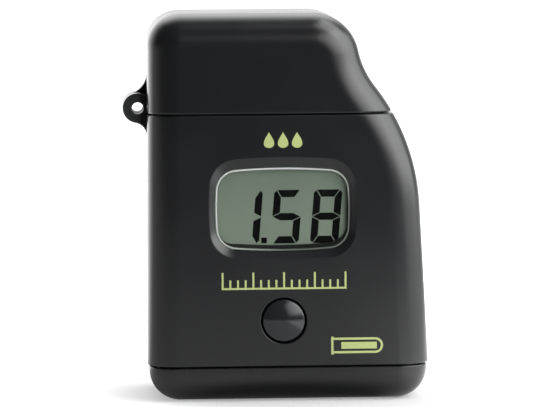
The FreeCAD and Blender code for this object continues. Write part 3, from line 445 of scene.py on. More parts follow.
@dataclass(frozen=True)
class ClearFinish(Finish):
    """A clear moulding: it lets light through, with faint smears in its gloss."""

    ior: float = 1.47

    def start(self) -> tuple[Material, NodeTree, Node, Node]:
        """Makes an empty material that lets light through.

        Returns:
            Material, tree, Principled node and Texture Coordinate node.
        """
        material, tree, shader, place = super().start()
        shader.inputs["Transmission Weight"].default_value = 1.0
        shader.inputs["IOR"].default_value = self.ior
        return material, tree, shader, place


@dataclass(frozen=True)
class FadeFinish(Finish):
    """A finish whose shade goes from first to second along a direction."""

    way: Spot = (0.0, 0.0, 1.0)
    start_at: float = 0.033
    stop_at: float = 0.052

    def lay_tone(self, tree: NodeTree, place: Node) -> NodeSocket:
        """The fading shade: its factor is the place's dot product with the direction, from start to stop.

        Args:
            tree: The material's tree.
            place: Its Texture Coordinate node.

        Returns:
            The colour output.
        """
        along = vectored(tree, "DOT_PRODUCT", place.outputs["Object"], self.way)
        share = faded(tree, along, (self.start_at, self.stop_at), (0.0, 1.0), smooth=False)
        return mixed(tree, share, self.first, self.second)


@dataclass(frozen=True)
class FramedFinish(FadeFinish):
    """A fading finish with a painted shade along the inside of a rounded frame, deepest on one side of it,
    where the window's bezel shades the display.
    """

    centre: Spot = (-0.00125, 0.0, 0.0428)
    straight: Spot = (0.0098, 1.0, 0.0041)
    corner: float = 0.0048
    reach: float = 0.0016
    dark: float = 0.75
    side: Spot = (0.62, 0.0, -0.78)
    side_reach: float = 0.01

    def lay_tone(self, tree: NodeTree, place: Node) -> NodeSocket:
        """The fading shade, mixed with black, a painted shade, by nearness to the frame times the lean to the
        dark side.

        Args:
            tree: The material's tree.
            place: Its Texture Coordinate node.

        Returns:
            The colour output.
        """
        inward = vectored(tree, "SUBTRACT", place.outputs["Object"], self.centre)
        past = vectored(tree, "SUBTRACT", vectored(tree, "ABSOLUTE", inward), self.straight)
        apart = vectored(tree, "LENGTH", vectored(tree, "MAXIMUM", past, (0.0, 0.0, 0.0)))
        along = vectored(tree, "DOT_PRODUCT", inward, self.side)
        near = faded(tree, apart, (self.corner - self.reach, self.corner), (0.0, self.dark))
        lean = faded(tree, along, (0.0, self.side_reach), (0.0, 1.0))
        share = worked(tree, "MULTIPLY", near, lean)
        return mixed(tree, share, super().lay_tone(tree, place), (0.0, 0.0, 0.0))


@dataclass(frozen=True)
class PaintedLightFinish(Finish):
    """A finish with a painted light: paler to the left of a line, on the hinge eye, which the case shades
    from the lights.
    """

    # Painted light: the paler shade on the hinge eye, and where it fades in.
    painted_light: Colour = (0.060, 0.061, 0.062)
    painted_light_reach: Pair = (-0.0316, -0.0332)

    def lay_tone(self, tree: NodeTree, place: Node) -> NodeSocket:
        """The drifting tone, mixed with the paler painted-light shade as the place crosses the reach.

        Args:
            tree: The material's tree.
            place: Its Texture Coordinate node.

        Returns:
            The colour output.
        """
        split = tree.nodes.new("ShaderNodeSeparateXYZ")
        tree.links.new(place.outputs["Object"], split.inputs["Vector"])
        share = faded(tree, split.outputs["X"], self.painted_light_reach, (0.0, 1.0))
        return mixed(tree, share, super().lay_tone(tree, place), self.painted_light)


class Finishes:
    """Every finish of the meter, by the name of what it covers."""

    # The case and the lid carry a painted light on the hinge eye, which the case shades from the lights.
    case = PaintedLightFinish("satin_case", (0.0085, 0.0090, 0.0098), (0.0105, 0.0110, 0.0120), 0.22, 0.27)
    lid = PaintedLightFinish("satin_lid", (0.0085, 0.0090, 0.0098), (0.0105, 0.0110, 0.0120), 0.22, 0.27)
    base = Finish("satin_base", (0.0060, 0.0063, 0.0069), (0.0076, 0.0079, 0.0086), 0.25, 0.30)
    pin = Finish("pin_plastic", (0.012, 0.012, 0.013), (0.018, 0.018, 0.019), 0.45, 0.55)
    button = Finish("button_satin", (0.013, 0.014, 0.016), (0.017, 0.018, 0.020), 0.08, 0.11, grain=2500.0,
                    relief=0.00005)
    well = Finish("well_matt", (0.008, 0.008, 0.009), (0.012, 0.012, 0.013), 0.55, 0.68, grain=3500.0,
                  bump=0.3)
    seal = Finish("seal_rubber", (0.011, 0.011, 0.012), (0.020, 0.020, 0.021), 0.62, 0.78, grain=2500.0,
                  bump=0.35)
    rubber = Finish("contact_rubber", (0.010, 0.010, 0.010), (0.030, 0.030, 0.028), 0.6, 0.75, grain=2500.0)
    screw = Finish("screw_steel", (0.30, 0.30, 0.31), (0.42, 0.42, 0.43), 0.22, 0.36, metallic=1.0,
                   grain=6000.0)
    contact = Finish("contact_metal", (0.60, 0.57, 0.50), (0.72, 0.69, 0.62), 0.20, 0.34, metallic=1.0)
    board = Finish("board_laminate", (0.006, 0.060, 0.026), (0.010, 0.085, 0.036), 0.28, 0.42, grain=3000.0,
                   bump=0.3)
    chip = Finish("chip_mould", (0.012, 0.012, 0.013), (0.022, 0.022, 0.023), 0.5, 0.62, grain=6000.0,
                  bump=0.3)
    lamp = Finish("lamp_mould", (0.55, 0.55, 0.52), (0.68, 0.68, 0.64), 0.2, 0.32)
    jacket = Finish("cell_jacket", (0.020, 0.028, 0.075), (0.026, 0.036, 0.095), 0.22, 0.32, coat=0.4)
    ink = Finish("printed_ink", (0.40, 0.475, 0.17), (0.48, 0.54, 0.22), 0.42, 0.55, grain=4000.0)
    window = ClearFinish("clear_window", (0.93, 0.96, 0.93), (0.97, 0.98, 0.97), 0.0, 0.03, bump=0.0)
    port = ClearFinish("clear_port", (0.95, 0.96, 0.97), (0.98, 0.98, 0.99), 0.02, 0.06, bump=0.0)
    filter = ClearFinish("filter_glass", (0.10, 0.55, 0.20), (0.14, 0.62, 0.25), 0.0, 0.03, bump=0.0)
    # The display plate: paler towards the bottom, with a painted shade along the lower right inside the
    # window's frame.
    display = FramedFinish("display_plate", (0.395, 0.475, 0.375), (0.315, 0.385, 0.312), 0.35, 0.45,
                           grain=9000.0)
    segment = Finish("display_segment", (0.0008, 0.0008, 0.0008), (0.0015, 0.0015, 0.0015), 0.55, 0.65,
                     specular=0.1)
    # A dark sheet for the painted shade inside the window's edge.
    mask = Finish("window_painted_shade", (0.006, 0.007, 0.007), (0.010, 0.011, 0.011), 0.5, 0.6)
    # The window's edge: a painted highlight, paler towards the upper left where the light falls on it.
    edge = FadeFinish("window_edge", (0.12, 0.135, 0.12), (0.62, 0.65, 0.62), 0.18, 0.28, bump=0.05,
                      way=(-0.6, 0.0, 0.8), start_at=0.027, stop_at=0.040)


# ---- sub-assemblies


def dress(finish: Finish, *names: str) -> None:
    """Gives a new material of one finish to CAD nodes.

    Args:
        finish: The finish.
        names: The nodes that wear it.
    """
    material = finish.material()
    for name in names:
        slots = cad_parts[name].data.materials
        slots.clear()
        slots.append(material)
        log.info("dressed %s in %s", name, material.name)


@dataclass
class Housing:
    """The outer case: shells, lid, bottom cap and door, the hinge pin and all screws."""

    def build(self) -> None:
        """Dresses the outer pieces and the screws."""
        dress(Finishes.case, "front_shell", "rear_shell")
        dress(Finishes.lid, "lid")
        dress(Finishes.base, "base_cap", "battery_door")
        dress(Finishes.pin, "hinge_pin")
        dress(Finishes.screw, "case_screws", "board_screws")


@dataclass
class Display:
    """The window, the display plate behind it and the reading on it."""

    front: float = -15.93 * MM
    back: float = -15.895 * MM
    low: float = 35.10 * MM
    tall: float = 11.86 * MM
    wide: float = 6.3 * MM
    stroke: float = 1.6 * MM
    gap: float = 0.13 * MM
    cut_corner: float = 0.55 * MM
    slant: float = 5.0
    pitch: float = 8.80 * MM
    last_left: float = 4.82 * MM
    digits: tuple[int, ...] = (1, 5, 8)
    point: Pair = (-5.31 * MM, 35.80 * MM)
    point_size: float = 1.25 * MM
    window_centre: Pair = (-1.25 * MM, 42.8 * MM)
    window_wide: float = 30.0 * MM
    window_tall: float = 18.65 * MM
    window_corner: float = 4.8 * MM
    long_bow: float = 130.0 * MM
    short_bow: float = 60.0 * MM
    arc_points: int = 24
    # The window's bright edge, a pale bead that is a painted highlight.
    edge_inset: float = 0.32 * MM
    edge_half: float = 0.19 * MM
    edge_rise: float = 0.13 * MM
    edge_level: float = -17.93 * MM
    edge_corners: int = 12
    # The painted shade along the inside of the window's edge, a dark band on the display.
    shade_inset: float = 0.45 * MM
    shade_least: float = 0.1 * MM
    shade_more: float = 0.85 * MM
    shade_way: Pair = (0.35, -0.94)

    def segments(self, digit: int) -> np.ndarray:
        """Which bars a digit lights, clockwise from the top one, with the middle one last."""
        return np.array([bit == "1" for bit in {1: "0110000", 5: "1011011", 8: "1111111"}[digit]])

    def bars(self) -> tuple[np.ndarray, np.ndarray]:
        """The seven bars of one digit, each as its two long edges of four points.

        The level bars are longer on their outer edge, and the middle one runs to a point at both ends. The
        upright bars follow the digit's side, lose their outer corner to the digit's cut corner, and meet the
        middle bar along a slope. Every end stands back by the gap, so that a thin pale line parts the bars.

        Returns:
            (7, 4, 2) outer and inner edges, from the digit's lower left corner, before the slant.
        """
        s, g, c, w, t = self.stroke, self.gap, self.cut_corner, self.wide, self.tall
        half, mid = s / 2, t / 2
        top = ([[c + g, t], [s + g, t], [w - s - g, t], [w - c - g, t]],
               [[s + g, t - s], [s + 2 * g, t - s], [w - s - 2 * g, t - s], [w - s - g, t - s]])
        middle = ([[g, mid], [s + g, mid + half], [w - s - g, mid + half], [w - g, mid]],
                  [[g, mid], [s + g, mid - half], [w - s - g, mid - half], [w - g, mid]])
        upper = ([[w, mid + g], [w, mid + s], [w, t - c - g], [w - c, t - g]],
                 [[w - s, mid + half + g], [w - s, mid + s], [w - s, t - s - 2 * g], [w - s, t - s - g]])
        level = np.array(top)
        upright = np.array(upper)
        over, across = np.array([1.0, -1.0]), np.array([-1.0, 1.0])
        fall, reach = np.array([0.0, t]), np.array([w, 0.0])
        bars = [level, upright, upright * over + fall, level * over + fall,
                upright * -1 + fall + reach, upright * across + reach, np.array(middle)]
        stacked = np.array(bars)
        return stacked[:, 0], stacked[:, 1]

    def reading(self) -> Object:
        """The lit bars of three digits and the point, as thin dark plates on the display.

        Returns:
            The piece.
        """
        low, high = self.bars()
        lean = math.tan(math.radians(self.slant))
        chosen_low, chosen_high = [], []
        for place, digit in enumerate(self.digits, 1 - len(self.digits)):
            lit = self.segments(digit)
            shift = np.array([self.last_left + place * self.pitch, self.low])
            for edges, chosen in ((low, chosen_low), (high, chosen_high)):
                placed = edges[lit].copy()
                placed[:, :, 0] += placed[:, :, 1] * lean
                chosen.append(placed + shift)
        x, z = self.point
        half = self.point_size / 2
        across = x + np.array([-half, -half / 2, half / 2, half])
        for chosen, level in ((chosen_low, z - half), (chosen_high, z + half)):
            chosen.append(np.stack([across, np.full(4, level)], axis=1)[None])
        low, high = np.concatenate(chosen_low), np.concatenate(chosen_high)
        return new_piece("display_reading", *bar_solids(low, high, self.front, self.back))

    def outline(self, grow: float) -> tuple[np.ndarray, np.ndarray]:
        """The window's bowed outline, a function of the angle of its outward normal alone.

        A point is centre + radius * (cos a, sin a), where centre and radius change from arc to arc: two long
        bows, two short bows and four corners that touch both.

        Args:
            grow: How far the outline stands outside the window's own.

        Returns:
            (points, 2) x and z, and the unit normals.
        """
        half_wide, half_tall = self.window_wide / 2 + grow, self.window_tall / 2 + grow
        corner = self.window_corner + grow
        run, rise = half_wide - self.short_bow, half_tall - self.long_bow
        near_top, near_side = self.long_bow - corner, self.short_bow - corner
        apart = math.hypot(run, rise)
        along = (near_side**2 - near_top**2 + apart**2) / (2 * apart)
        across = math.sqrt(near_side**2 - along**2)
        corner_x = run - along * run / apart - across * rise / apart
        corner_z = along * rise / apart - across * run / apart
        low = math.atan2(corner_z, corner_x - run)
        high = math.atan2(corner_z - rise, corner_x)
        quarter = math.pi / 2
        arcs = []
        for index, (mark_x, mark_z) in enumerate(((1, 1), (-1, 1), (-1, -1), (1, -1))):
            side = ((run, 0), (0, rise), (-run, 0), (0, -rise))[index]
            bow = self.long_bow if index % 2 else self.short_bow
            half = quarter - high if index % 2 else low
            arcs.append((side, bow, index * quarter - half, index * quarter + half))
            start = index * quarter + half
            arcs.append(((mark_x * corner_x, mark_z * corner_z), corner, start, start + high - low))
        angles = [np.linspace(start, stop, self.arc_points, endpoint=False) for _, _, start, stop in arcs]
        normals = [np.stack([np.cos(a), np.sin(a)], axis=1) for a in angles]
        points = [np.array(centre) + radius * n for (centre, radius, _, _), n in zip(arcs, normals)]
        return np.concatenate(points) + np.array(self.window_centre), np.concatenate(normals)

    def edge_ring(self) -> Object:
        """The edge of the window as a painted highlight: a low pale rounded bead carried round the window's
        outline.

        Its section is an ellipse: at turn v it is half * cos v across and level + rise * sin v deep.

        Returns:
            The piece.
        """
        path, normal = self.outline(-self.edge_inset)
        turn = np.linspace(0, 2 * math.pi, self.edge_corners, endpoint=False)
        depth = np.sin(turn) * self.edge_rise + self.edge_level
        profile = np.stack([np.cos(turn) * self.edge_half, depth], axis=1)
        return new_piece("window_edge", *swept_ring(path, normal, profile), smooth=True)

    def painted_shade_ring(self) -> Object:
        """A painted shade on the display: a dark band along the window's edge, widest where it faces down and
        a little to the right.

        A flat band is carried round the window's outline: a point is path(u) + (across(v) - 1) * half(u), and
        half(u) is the normal times half the width, which grows with the square of the normal's lean.

        Returns:
            The piece.
        """
        path, normal = self.outline(-self.shade_inset)
        lean = np.clip(normal @ np.array(self.shade_way), 0, None)
        half = normal * (self.shade_least + self.shade_more * lean**2)[:, None] / 2
        band = np.array([[-1, self.back], [-1, self.front], [1, self.front], [1, self.back]])
        return new_piece("display_painted_shade", *swept_ring(path - half, half, band))

    def build(self) -> None:
        """Dresses the display stack, lays the reading on it, lays a painted shade inside the window and puts
        a painted highlight, the bright edge, round the window.
        """
        dress(Finishes.window, "display_window")
        dress(Finishes.display, "lcd_panel")
        dress(Finishes.rubber, "lcd_connectors")
        for piece, finish, slot in (
            (self.reading(), Finishes.segment, SlotName.DISPLAY),
            # a dark band that is a painted shade
            (self.painted_shade_ring(), Finishes.mask, SlotName.DISPLAY),
            # a pale bead that is a painted highlight
            (self.edge_ring(), Finishes.edge, SlotName.WINDOW),
        ):
            piece.data.materials.append(finish.material())
            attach(piece, BodyName.HOUSING.value)
            log.info("made %s", piece.name)


@dataclass
class Marks:
    """Plain printed marks on the front: three drops, a graduated scale and a vial."""

    front: float = -18.775 * MM
    back: float = -18.745 * MM
    points: int = 33
    drop_middle: Pair = (-1.07 * MM, 58.2 * MM)
    drop_pitch: float = 3.1 * MM
    drop_tall: float = 3.5 * MM
    drop_wide: float = 2.3 * MM
    drop_tip: float = 0.02
    drop_power: float = 1.5
    scale_left: float = -14.65 * MM
    scale_right: float = 12.55 * MM
    scale_low: float = 25.3 * MM
    scale_line: float = 0.42 * MM
    ticks: int = 17
    long_every: int = 4
    tick_short: float = 1.7 * MM
    tick_long: float = 3.4 * MM
    vial_left: float = 9.55 * MM
    vial_right: float = 20.55 * MM
    vial_middle: float = 12.45 * MM
    vial_half: float = 1.5 * MM
    vial_line: float = 0.5 * MM
    liquid_gap: float = 2.0 * MM
    liquid_over: float = 0.375 * MM

    def line(self, start: Pair, stop: Pair, wide: float) -> np.ndarray:
        """A straight bar: its edges are the line from start to stop, less and plus half its width across it.

        Args:
            start: x and z of one end.
            stop: x and z of the other end.
            wide: Width of the bar.

        Returns:
            (2, points, 2) edges.
        """
        a, b = np.array(start), np.array(stop)
        middle = a + np.linspace(0, 1, self.points)[:, None] * (b - a)
        ahead = (b - a) / np.linalg.norm(b - a)
        side = np.array([-ahead[1], ahead[0]]) * wide / 2
        return np.array([middle - side, middle + side])

    def arc(self, centre: Pair, radius: float, wide: float, start: float, stop: float) -> np.ndarray:
        """A bent bar: its edges are circles about one centre, half its width inside and outside the radius.

        Args:
            centre: x and z of the centre.
            radius: Radius of the bar's middle line.
            wide: Width of the bar.
            start: Angle of one end.
            stop: Angle of the other end.

        Returns:
            (2, points, 2) edges.
        """
        turn = np.linspace(start, stop, self.points)
        ray = np.stack([np.cos(turn), np.sin(turn)], axis=1)
        return np.array([np.array(centre) + ray * (radius + side * wide / 2) for side in (-1, 1)])

    def drop(self, middle: Pair) -> np.ndarray:
        """A drop: at turn a its height is half its tallness times cos a.

        Its half width there is sin a * sin(a / 2) ** power, scaled to the drop's width.

        Args:
            middle: x and z of its middle.

        Returns:
            (2, points, 2) edges.
        """
        turn = np.linspace(self.drop_tip, math.pi - self.drop_tip, self.points)
        half = np.sin(turn) * np.sin(turn / 2) ** self.drop_power
        half = half / half.max() * self.drop_wide / 2
        rise = np.cos(turn) * self.drop_tall / 2
        return np.array([np.stack([side * half, rise], axis=1) for side in (-1, 1)]) + np.array(middle)

    def build(self) -> None:
        """Lays the marks on the front as thin ink."""
        x, z = self.drop_middle
        bars = [self.drop((x + k * self.drop_pitch, z)) for k in (-1, 0, 1)]
        half = self.scale_line / 2
        left, right = self.scale_left - half, self.scale_right + half
        bars.append(self.line((left, self.scale_low), (right, self.scale_low), self.scale_line))
        foot = self.scale_low + half
        for index, place in enumerate(np.linspace(self.scale_left, self.scale_right, self.ticks)):
            tall = self.tick_short if index % self.long_every else self.tick_long
            bars.append(self.line((place, foot), (place, foot + tall), self.scale_line))
        self.lay("front_marks", bars)
        low, high = self.vial_middle - self.vial_half, self.vial_middle + self.vial_half
        rim, bend, wide = self.vial_left, self.vial_right - self.vial_half, self.vial_line
        self.lay("vial_mark", [
            self.line((rim, low - wide), (rim, high + wide), wide),
            self.line((rim + wide / 2, low), (bend, low), wide),
            self.line((rim + wide / 2, high), (bend, high), wide),
            self.arc((bend, self.vial_middle), self.vial_half, wide, -math.pi / 2, math.pi / 2),
            self.line((rim + self.liquid_gap, self.vial_middle), (bend + self.liquid_over, self.vial_middle),
                      self.vial_half),
        ])

    def lay(self, name: str, bars: list[np.ndarray]) -> None:
        """Makes one printed piece.

        Args:
            name: Name of the piece.
            bars: The two edges of each of its strips.
        """
        edges = np.array(bars)
        piece = new_piece(name, *bar_solids(edges[:, 0], edges[:, 1], self.front, self.back))
        piece.data.materials.append(Finishes.ink.material())
        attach(piece, BodyName.HOUSING.value)
        log.info("made %s", name)


@dataclass
class Button:
    """The push button and the switch behind it."""

    centre: Pair = (-1.15 * MM, 18.1 * MM)
    radius: float = 4.65 * MM
    rim: float = -18.75 * MM
    dome: float = 1.0 * MM
    edge_round: float = 0.45 * MM
    flange_radius: float = 6.6 * MM
    flange_front: float = -16.65 * MM
    flange_back: float = -15.65 * MM
    stem_radius: float = 1.8 * MM
    stem_tip: float = 0.01
    dome_tip: float = 0.004
    dome_points: int = 25
    edge_points: int = 9
    turns: int = 96

    def profile(self) -> np.ndarray:
        """Radius and depth along the cap: dome, soft edge, side, flange and stem.

        The dome is an arc about a point on the axis. The soft edge is an arc that touches the dome and the
        side.

        Returns:
            (points, 2) radius and Y, from the tip of the dome to the end of the stem.
        """
        ball = (self.radius**2 + self.dome**2) / (2 * self.dome)
        ball_y = self.rim - self.dome + ball
        soft_x = self.radius - self.edge_round
        soft_y = ball_y - math.sqrt((ball - self.edge_round) ** 2 - soft_x**2)
        lean = math.atan2(soft_x, ball_y - soft_y)
        over = np.linspace(self.dome_tip, 1, self.dome_points) * lean
        soft = np.linspace(lean, math.pi / 2, self.edge_points)[1:]
        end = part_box("button_cap")[1].y
        dome = np.stack([np.sin(over) * ball, ball_y - np.cos(over) * ball], axis=1)
        edge = np.stack(
            [soft_x + np.sin(soft) * self.edge_round, soft_y - np.cos(soft) * self.edge_round], axis=1)
        rest = np.array([
            [self.radius, self.flange_front], [self.flange_radius, self.flange_front],
            [self.flange_radius, self.flange_back], [self.stem_radius, self.flange_back],
            [self.stem_radius, end], [self.stem_radius * self.stem_tip, end]])
        return np.concatenate([dome, edge, rest])

    def cap(self) -> Object:
        """The cap: its profile turned about the button's axis, closed at both ends of the axis.

        Returns:
            The piece, which stands for the CAD cap.
        """
        profile = self.profile()
        turn = np.linspace(0, 2 * math.pi, self.turns, endpoint=False)
        x = self.centre[0] + profile[:, :1] * np.cos(turn)
        z = self.centre[1] + profile[:, :1] * np.sin(turn)
        y = np.broadcast_to(profile[:, 1:], x.shape)
        spots = np.stack([x, y, z], axis=2).reshape(-1, 3)
        faces = outward(spots, grid_faces(len(profile), self.turns, True))
        last = (len(profile) - 1) * self.turns
        front = np.arange(self.turns)
        ends = [front.tolist(), (last + front[::-1]).tolist()]
        piece = new_piece("button_dome", spots, faces.tolist() + ends, smooth=True)
        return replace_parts(piece, "button_cap")

    def build(self) -> None:
        """Makes the cap and dresses the switch behind it."""
        piece = self.cap()
        piece.data.materials.append(Finishes.button.material())
        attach(piece, BodyName.BUTTON.value)
        log.info("made %s", piece.name)
        dress(Finishes.chip, "switch_housing", "switch_plunger")


@dataclass
class Optics:
    """The cuvette well with its seal, windows, lamp, filter and light sensor, and the boards."""

    def build(self) -> None:
        """Dresses the well and what looks into it."""
        dress(Finishes.well, "cuvette_holder")
        dress(Finishes.seal, "light_seal")
        dress(Finishes.port, "well_windows")
        dress(Finishes.filter, "optical_filter")
        dress(Finishes.lamp, "light_source")
        dress(Finishes.chip, "photodetector", "control_chip")
        dress(Finishes.board, "emitter_board", "detector_board", "main_board")


@dataclass
class Power:
    """The cell, its holder, its contacts and the spring on the battery door."""

    def build(self) -> None:
        """Dresses the power supply."""
        dress(Finishes.jacket, "battery_cell")
        dress(Finishes.well, "battery_holder")
        dress(Finishes.contact, "positive_strip", "negative_strip", "battery_spring")


# ---- studio


@dataclass(frozen=True)
class Softbox:
    """A soft rectangular light that shows a given brightness."""

    name: str
    place: Spot
    aim: Spot
    width: float
    height: float
    brightness: float
    edges: Pair = (0.25, 0.25)
    middle: float = 0.5

    def soften(self, tree: NodeTree) -> None:
        """Lets the light fall off towards its edges.

        Args:
            tree: The light's tree. Its Parametric coordinates run from 0 to 1 along both sides.
        """
        place, split = new_nodes(tree, "NewGeometry", "SeparateXYZ")
        tree.links.new(place.outputs["Parametric"], split.inputs["Vector"])
        levels = []
        for side, edge in zip(("X", "Y"), self.edges):
            off = worked(tree, "ABSOLUTE", worked(tree, "SUBTRACT", split.outputs[side], self.middle))
            levels.append(faded(tree, off, (self.middle - edge, self.middle), (1.0, 0.0), smooth=False))
        tree.links.new(worked(tree, "MULTIPLY", *levels), tree.nodes["Emission"].inputs["Strength"])

    def build(self) -> None:
        """Makes the light, turned towards its aim: its power is brightness times pi times its area."""
        lamp = bpy.data.lights.new(self.name, "AREA")
        lamp.shape = "RECTANGLE"
        lamp.size, lamp.size_y = self.width, self.height
        lamp.energy = self.brightness * math.pi * self.width * self.height
        lamp.use_nodes = True
        self.soften(lamp.node_tree)
        holder = bpy.data.objects.new(self.name, lamp)
        holder.location = self.place
        holder.rotation_euler = (Vector(self.aim) - Vector(self.place)).to_track_quat("-Z", "Y").to_euler()
        holder.visible_camera = False
        bpy.context.scene.collection.objects.link(holder)


@dataclass
class Studio:
    """Camera, pale floor, pale surroundings and soft lights."""

    target: Spot = (0.00035, 0.0, 0.043)
    distance: float = 0.9
    azimuth: float = -2.9
    elevation: float = 4.8
    roll: float = 0.4
    focal: float = 3994.0
    picture: tuple[int, int] = (555, 407)
    aim: Pair = (285.6, 201.5)
    sensor: float = 36.0
    clip: Pair = (0.01, 100.0)
    floor_points: int = 9
    floor_drop: float = 0.00005
    floor_side: float = 8.0
    floor_front: float = -0.26
    floor_back: float = 9.0
    floor_tone: float = 0.45
    # The floor's glow to the camera, weaker near the meter: a painted contact shadow.
    floor_glow: Pair = (0.30, 1.0)
    floor_fade: Pair = (0.028, 0.075)
    shade_middle: Spot = (0.012, 0.0, 0.0)
    # The floor as the meter sees it: a painted shade close by and a painted pool of light on the right.
    footprint: Pair = (0.034, 0.0195)
    floor_bounce: Pair = (0.13, 0.75)
    bounce_fade: Pair = (0.92, 1.4)
    right_bounce: float = 1.4
    right_fade: Pair = (0.018, 0.04)
    right_stop: Pair = (0.10, 0.30)
    far_fade: Pair = (0.02, 0.08)
    front_glow: float = 0.05
    back_glow: float = 1.9
    side_turn: Pair = (0.1, 0.95)
    left_gain: float = 1.0
    lights: tuple[Softbox, ...] = field(default_factory=lambda: (
        Softbox("right_softbox", (0.74, -0.32, 0.47), (0.0, 0.0, 0.05), 2.8, 0.90, 6.6, (0.5, 0.25)),
        Softbox("side_panel", (0.85, -0.07, 0.10), (0.0, 0.0, 0.05), 1.4, 0.22, 2.2, (0.25, 0.05)),
        Softbox("high_softbox", (0.46, -0.10, 0.88), (0.0, 0.0, 0.05), 1.0, 0.75, 4.6),
        Softbox("top_softbox", (0.0, 0.52, 0.83), (0.0, 0.0, 0.06), 1.4, 1.2, 2.8, (0.3, 0.45)),
    ))

    def make_camera(self) -> None:
        """Places the camera round the target and sets its lens from the photograph's frame."""
        turn, rise = math.radians(self.azimuth), math.radians(self.elevation)
        back = Vector((math.sin(turn) * math.cos(rise), -math.cos(turn) * math.cos(rise), math.sin(rise)))
        data = bpy.data.cameras.new("camera")
        data.sensor_width = self.sensor
        wide, tall = self.picture
        data.lens = self.focal / wide * self.sensor
        data.shift_x = (wide / 2 - self.aim[0]) / wide
        data.shift_y = (self.aim[1] - tall / 2) / wide
        data.clip_start, data.clip_end = self.clip
        holder = bpy.data.objects.new("camera", data)
        look = (-back).to_track_quat("-Z", "Y").to_matrix().to_4x4()
        tilt = Matrix.Rotation(math.radians(-self.roll), 4, "Z")
        holder.matrix_world = Matrix.Translation(Vector(self.target) + back * self.distance) @ look @ tilt
        bpy.context.scene.collection.objects.link(holder)
        bpy.context.scene.camera = holder

    def surround(self, tree: NodeTree, way: NodeSocket) -> NodeSocket:
        """Brightness in a direction: dark in front, bright behind and brightest behind on the left.

        Args:
            tree: The tree that the nodes go into.
            way: The socket that gives the direction.

        Returns:
            The socket with the brightness, faded(y) * (1 - gain * x).
        """
        split = tree.nodes.new("ShaderNodeSeparateXYZ")
        tree.links.new(way, split.inputs["Vector"])
        side = worked(tree, "ADD", worked(tree, "MULTIPLY", split.outputs["X"], -self.left_gain), 1.0)
        behind = faded(tree, split.outputs["Y"], self.side_turn, (self.front_glow, self.back_glow))
        return worked(tree, "MULTIPLY", side, behind)

    def bounce(self, tree: NodeTree, place: NodeSocket) -> NodeSocket:
        """How bright the floor is to the meter: dark close by, a painted shade, except on the right, a
        painted pool of light, and like the surround far off.

        Args:
            tree: The tree that the nodes go into.
            place: The socket that gives the place.

        Returns:
            The socket with the brightness, the greater of far and around + right.
        """
        split = tree.nodes.new("ShaderNodeSeparateXYZ")
        tree.links.new(place, split.inputs["Vector"])
        reach = vectored(tree, "LENGTH", place)
        apart = vectored(tree, "LENGTH", vectored(tree, "DIVIDE", place, (*self.footprint, 1.0)))
        around = faded(tree, apart, self.bounce_fade, self.floor_bounce)
        right = worked(tree, "MULTIPLY",
                       faded(tree, split.outputs["X"], self.right_fade, (0.0, self.right_bounce)),
                       faded(tree, reach, self.right_stop, (1.0, 0.0)))
        far = worked(tree, "MULTIPLY", self.surround(tree, vectored(tree, "NORMALIZE", place)),
                     faded(tree, reach, self.far_fade, (0.0, 1.0)))
        return worked(tree, "MAXIMUM", far, worked(tree, "ADD", around, right))

    def floor_material(self) -> Material:
        """A pale floor that glows more away from the meter, so that a painted contact shadow lies round it,
        and is clear when seen from below.

        Returns:
            The material.
        """
        material = bpy.data.materials.new("pale_floor")
        material.use_nodes = True
        tree = material.node_tree
        tree.nodes.clear()
        out, matt, glow, bounce, lit, seen, clear, mix = new_nodes(
            tree, "OutputMaterial", "BsdfDiffuse", "Emission", "Emission", "AddShader", "MixShader",
            "BsdfTransparent", "MixShader")
        side, ray, place = new_nodes(tree, "NewGeometry", "LightPath", "TexCoord")
        spot = place.outputs["Object"]
        matt.inputs["Color"].default_value = (self.floor_tone, self.floor_tone, self.floor_tone, 1)
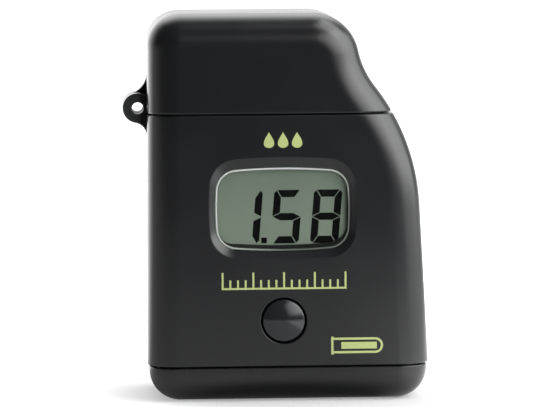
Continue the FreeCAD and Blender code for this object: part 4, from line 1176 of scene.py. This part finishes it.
        # A painted contact shadow: the glow is weaker near the meter.
        shade = vectored(tree, "DISTANCE", spot, self.shade_middle)
        tree.links.new(faded(tree, shade, self.floor_fade, self.floor_glow), glow.inputs["Strength"])
        tree.links.new(self.bounce(tree, spot), bounce.inputs["Strength"])
        for source, target in (
            (matt.outputs["BSDF"], lit.inputs[0]), (glow.outputs["Emission"], lit.inputs[1]),
            (ray.outputs["Is Camera Ray"], seen.inputs["Fac"]), (bounce.outputs["Emission"], seen.inputs[1]),
            (lit.outputs["Shader"], seen.inputs[2]), (side.outputs["Backfacing"], mix.inputs["Fac"]),
            (seen.outputs["Shader"], mix.inputs[1]), (clear.outputs["BSDF"], mix.inputs[2]),
            (mix.outputs["Shader"], out.inputs["Surface"]),
        ):
            tree.links.new(source, target)
        return material

    def make_floor(self) -> None:
        """Lays the wide pale floor as a flat grid, a hair under the base."""
        across = np.linspace(-self.floor_side, self.floor_side, self.floor_points)
        away = np.linspace(self.floor_front, self.floor_back, self.floor_points)
        x, y = np.meshgrid(across, away, indexing="ij")
        spots = np.stack([x, y, np.full_like(x, -self.floor_drop)], axis=2).reshape(-1, 3)
        faces = grid_faces(self.floor_points, self.floor_points, False)[:, ::-1]
        floor = new_piece("floor", spots, faces.tolist())
        floor.data.materials.append(self.floor_material())

    def make_surroundings(self) -> None:
        """Surroundings that light the meter, and are white to the camera."""
        world = bpy.data.worlds.new("studio")
        bpy.context.scene.world = world
        world.use_nodes = True
        tree = world.node_tree
        tree.nodes.clear()
        out, place, glow, seen, ray, mix = new_nodes(
            tree, "OutputWorld", "TexCoord", "Background", "Background", "LightPath", "MixShader")
        seen.inputs["Color"].default_value = (1, 1, 1, 1)
        tree.links.new(self.surround(tree, place.outputs["Generated"]), glow.inputs["Strength"])
        tree.links.new(ray.outputs["Is Camera Ray"], mix.inputs["Fac"])
        tree.links.new(glow.outputs["Background"], mix.inputs[1])
        tree.links.new(seen.outputs["Background"], mix.inputs[2])
        tree.links.new(mix.outputs["Shader"], out.inputs["Surface"])

    def build(self) -> None:
        """Sets up the whole studio, with plain colours."""
        bpy.context.scene.view_settings.view_transform = "Standard"
        self.make_camera()
        self.make_floor()
        self.make_surroundings()
        for light in self.lights:
            light.build()
            log.info("lit %s", light.name)


def main() -> None:
    """Builds the studio and dresses the meter, sub-assembly by sub-assembly."""
    logging.basicConfig(level=logging.INFO, format="%(message)s")
    for part in (Studio(), Housing(), Display(), Marks(), Button(), Optics(), Power()):
        part.build()
        log.info("finished %s", type(part).__name__)


if __name__ == "__main__":
    main()
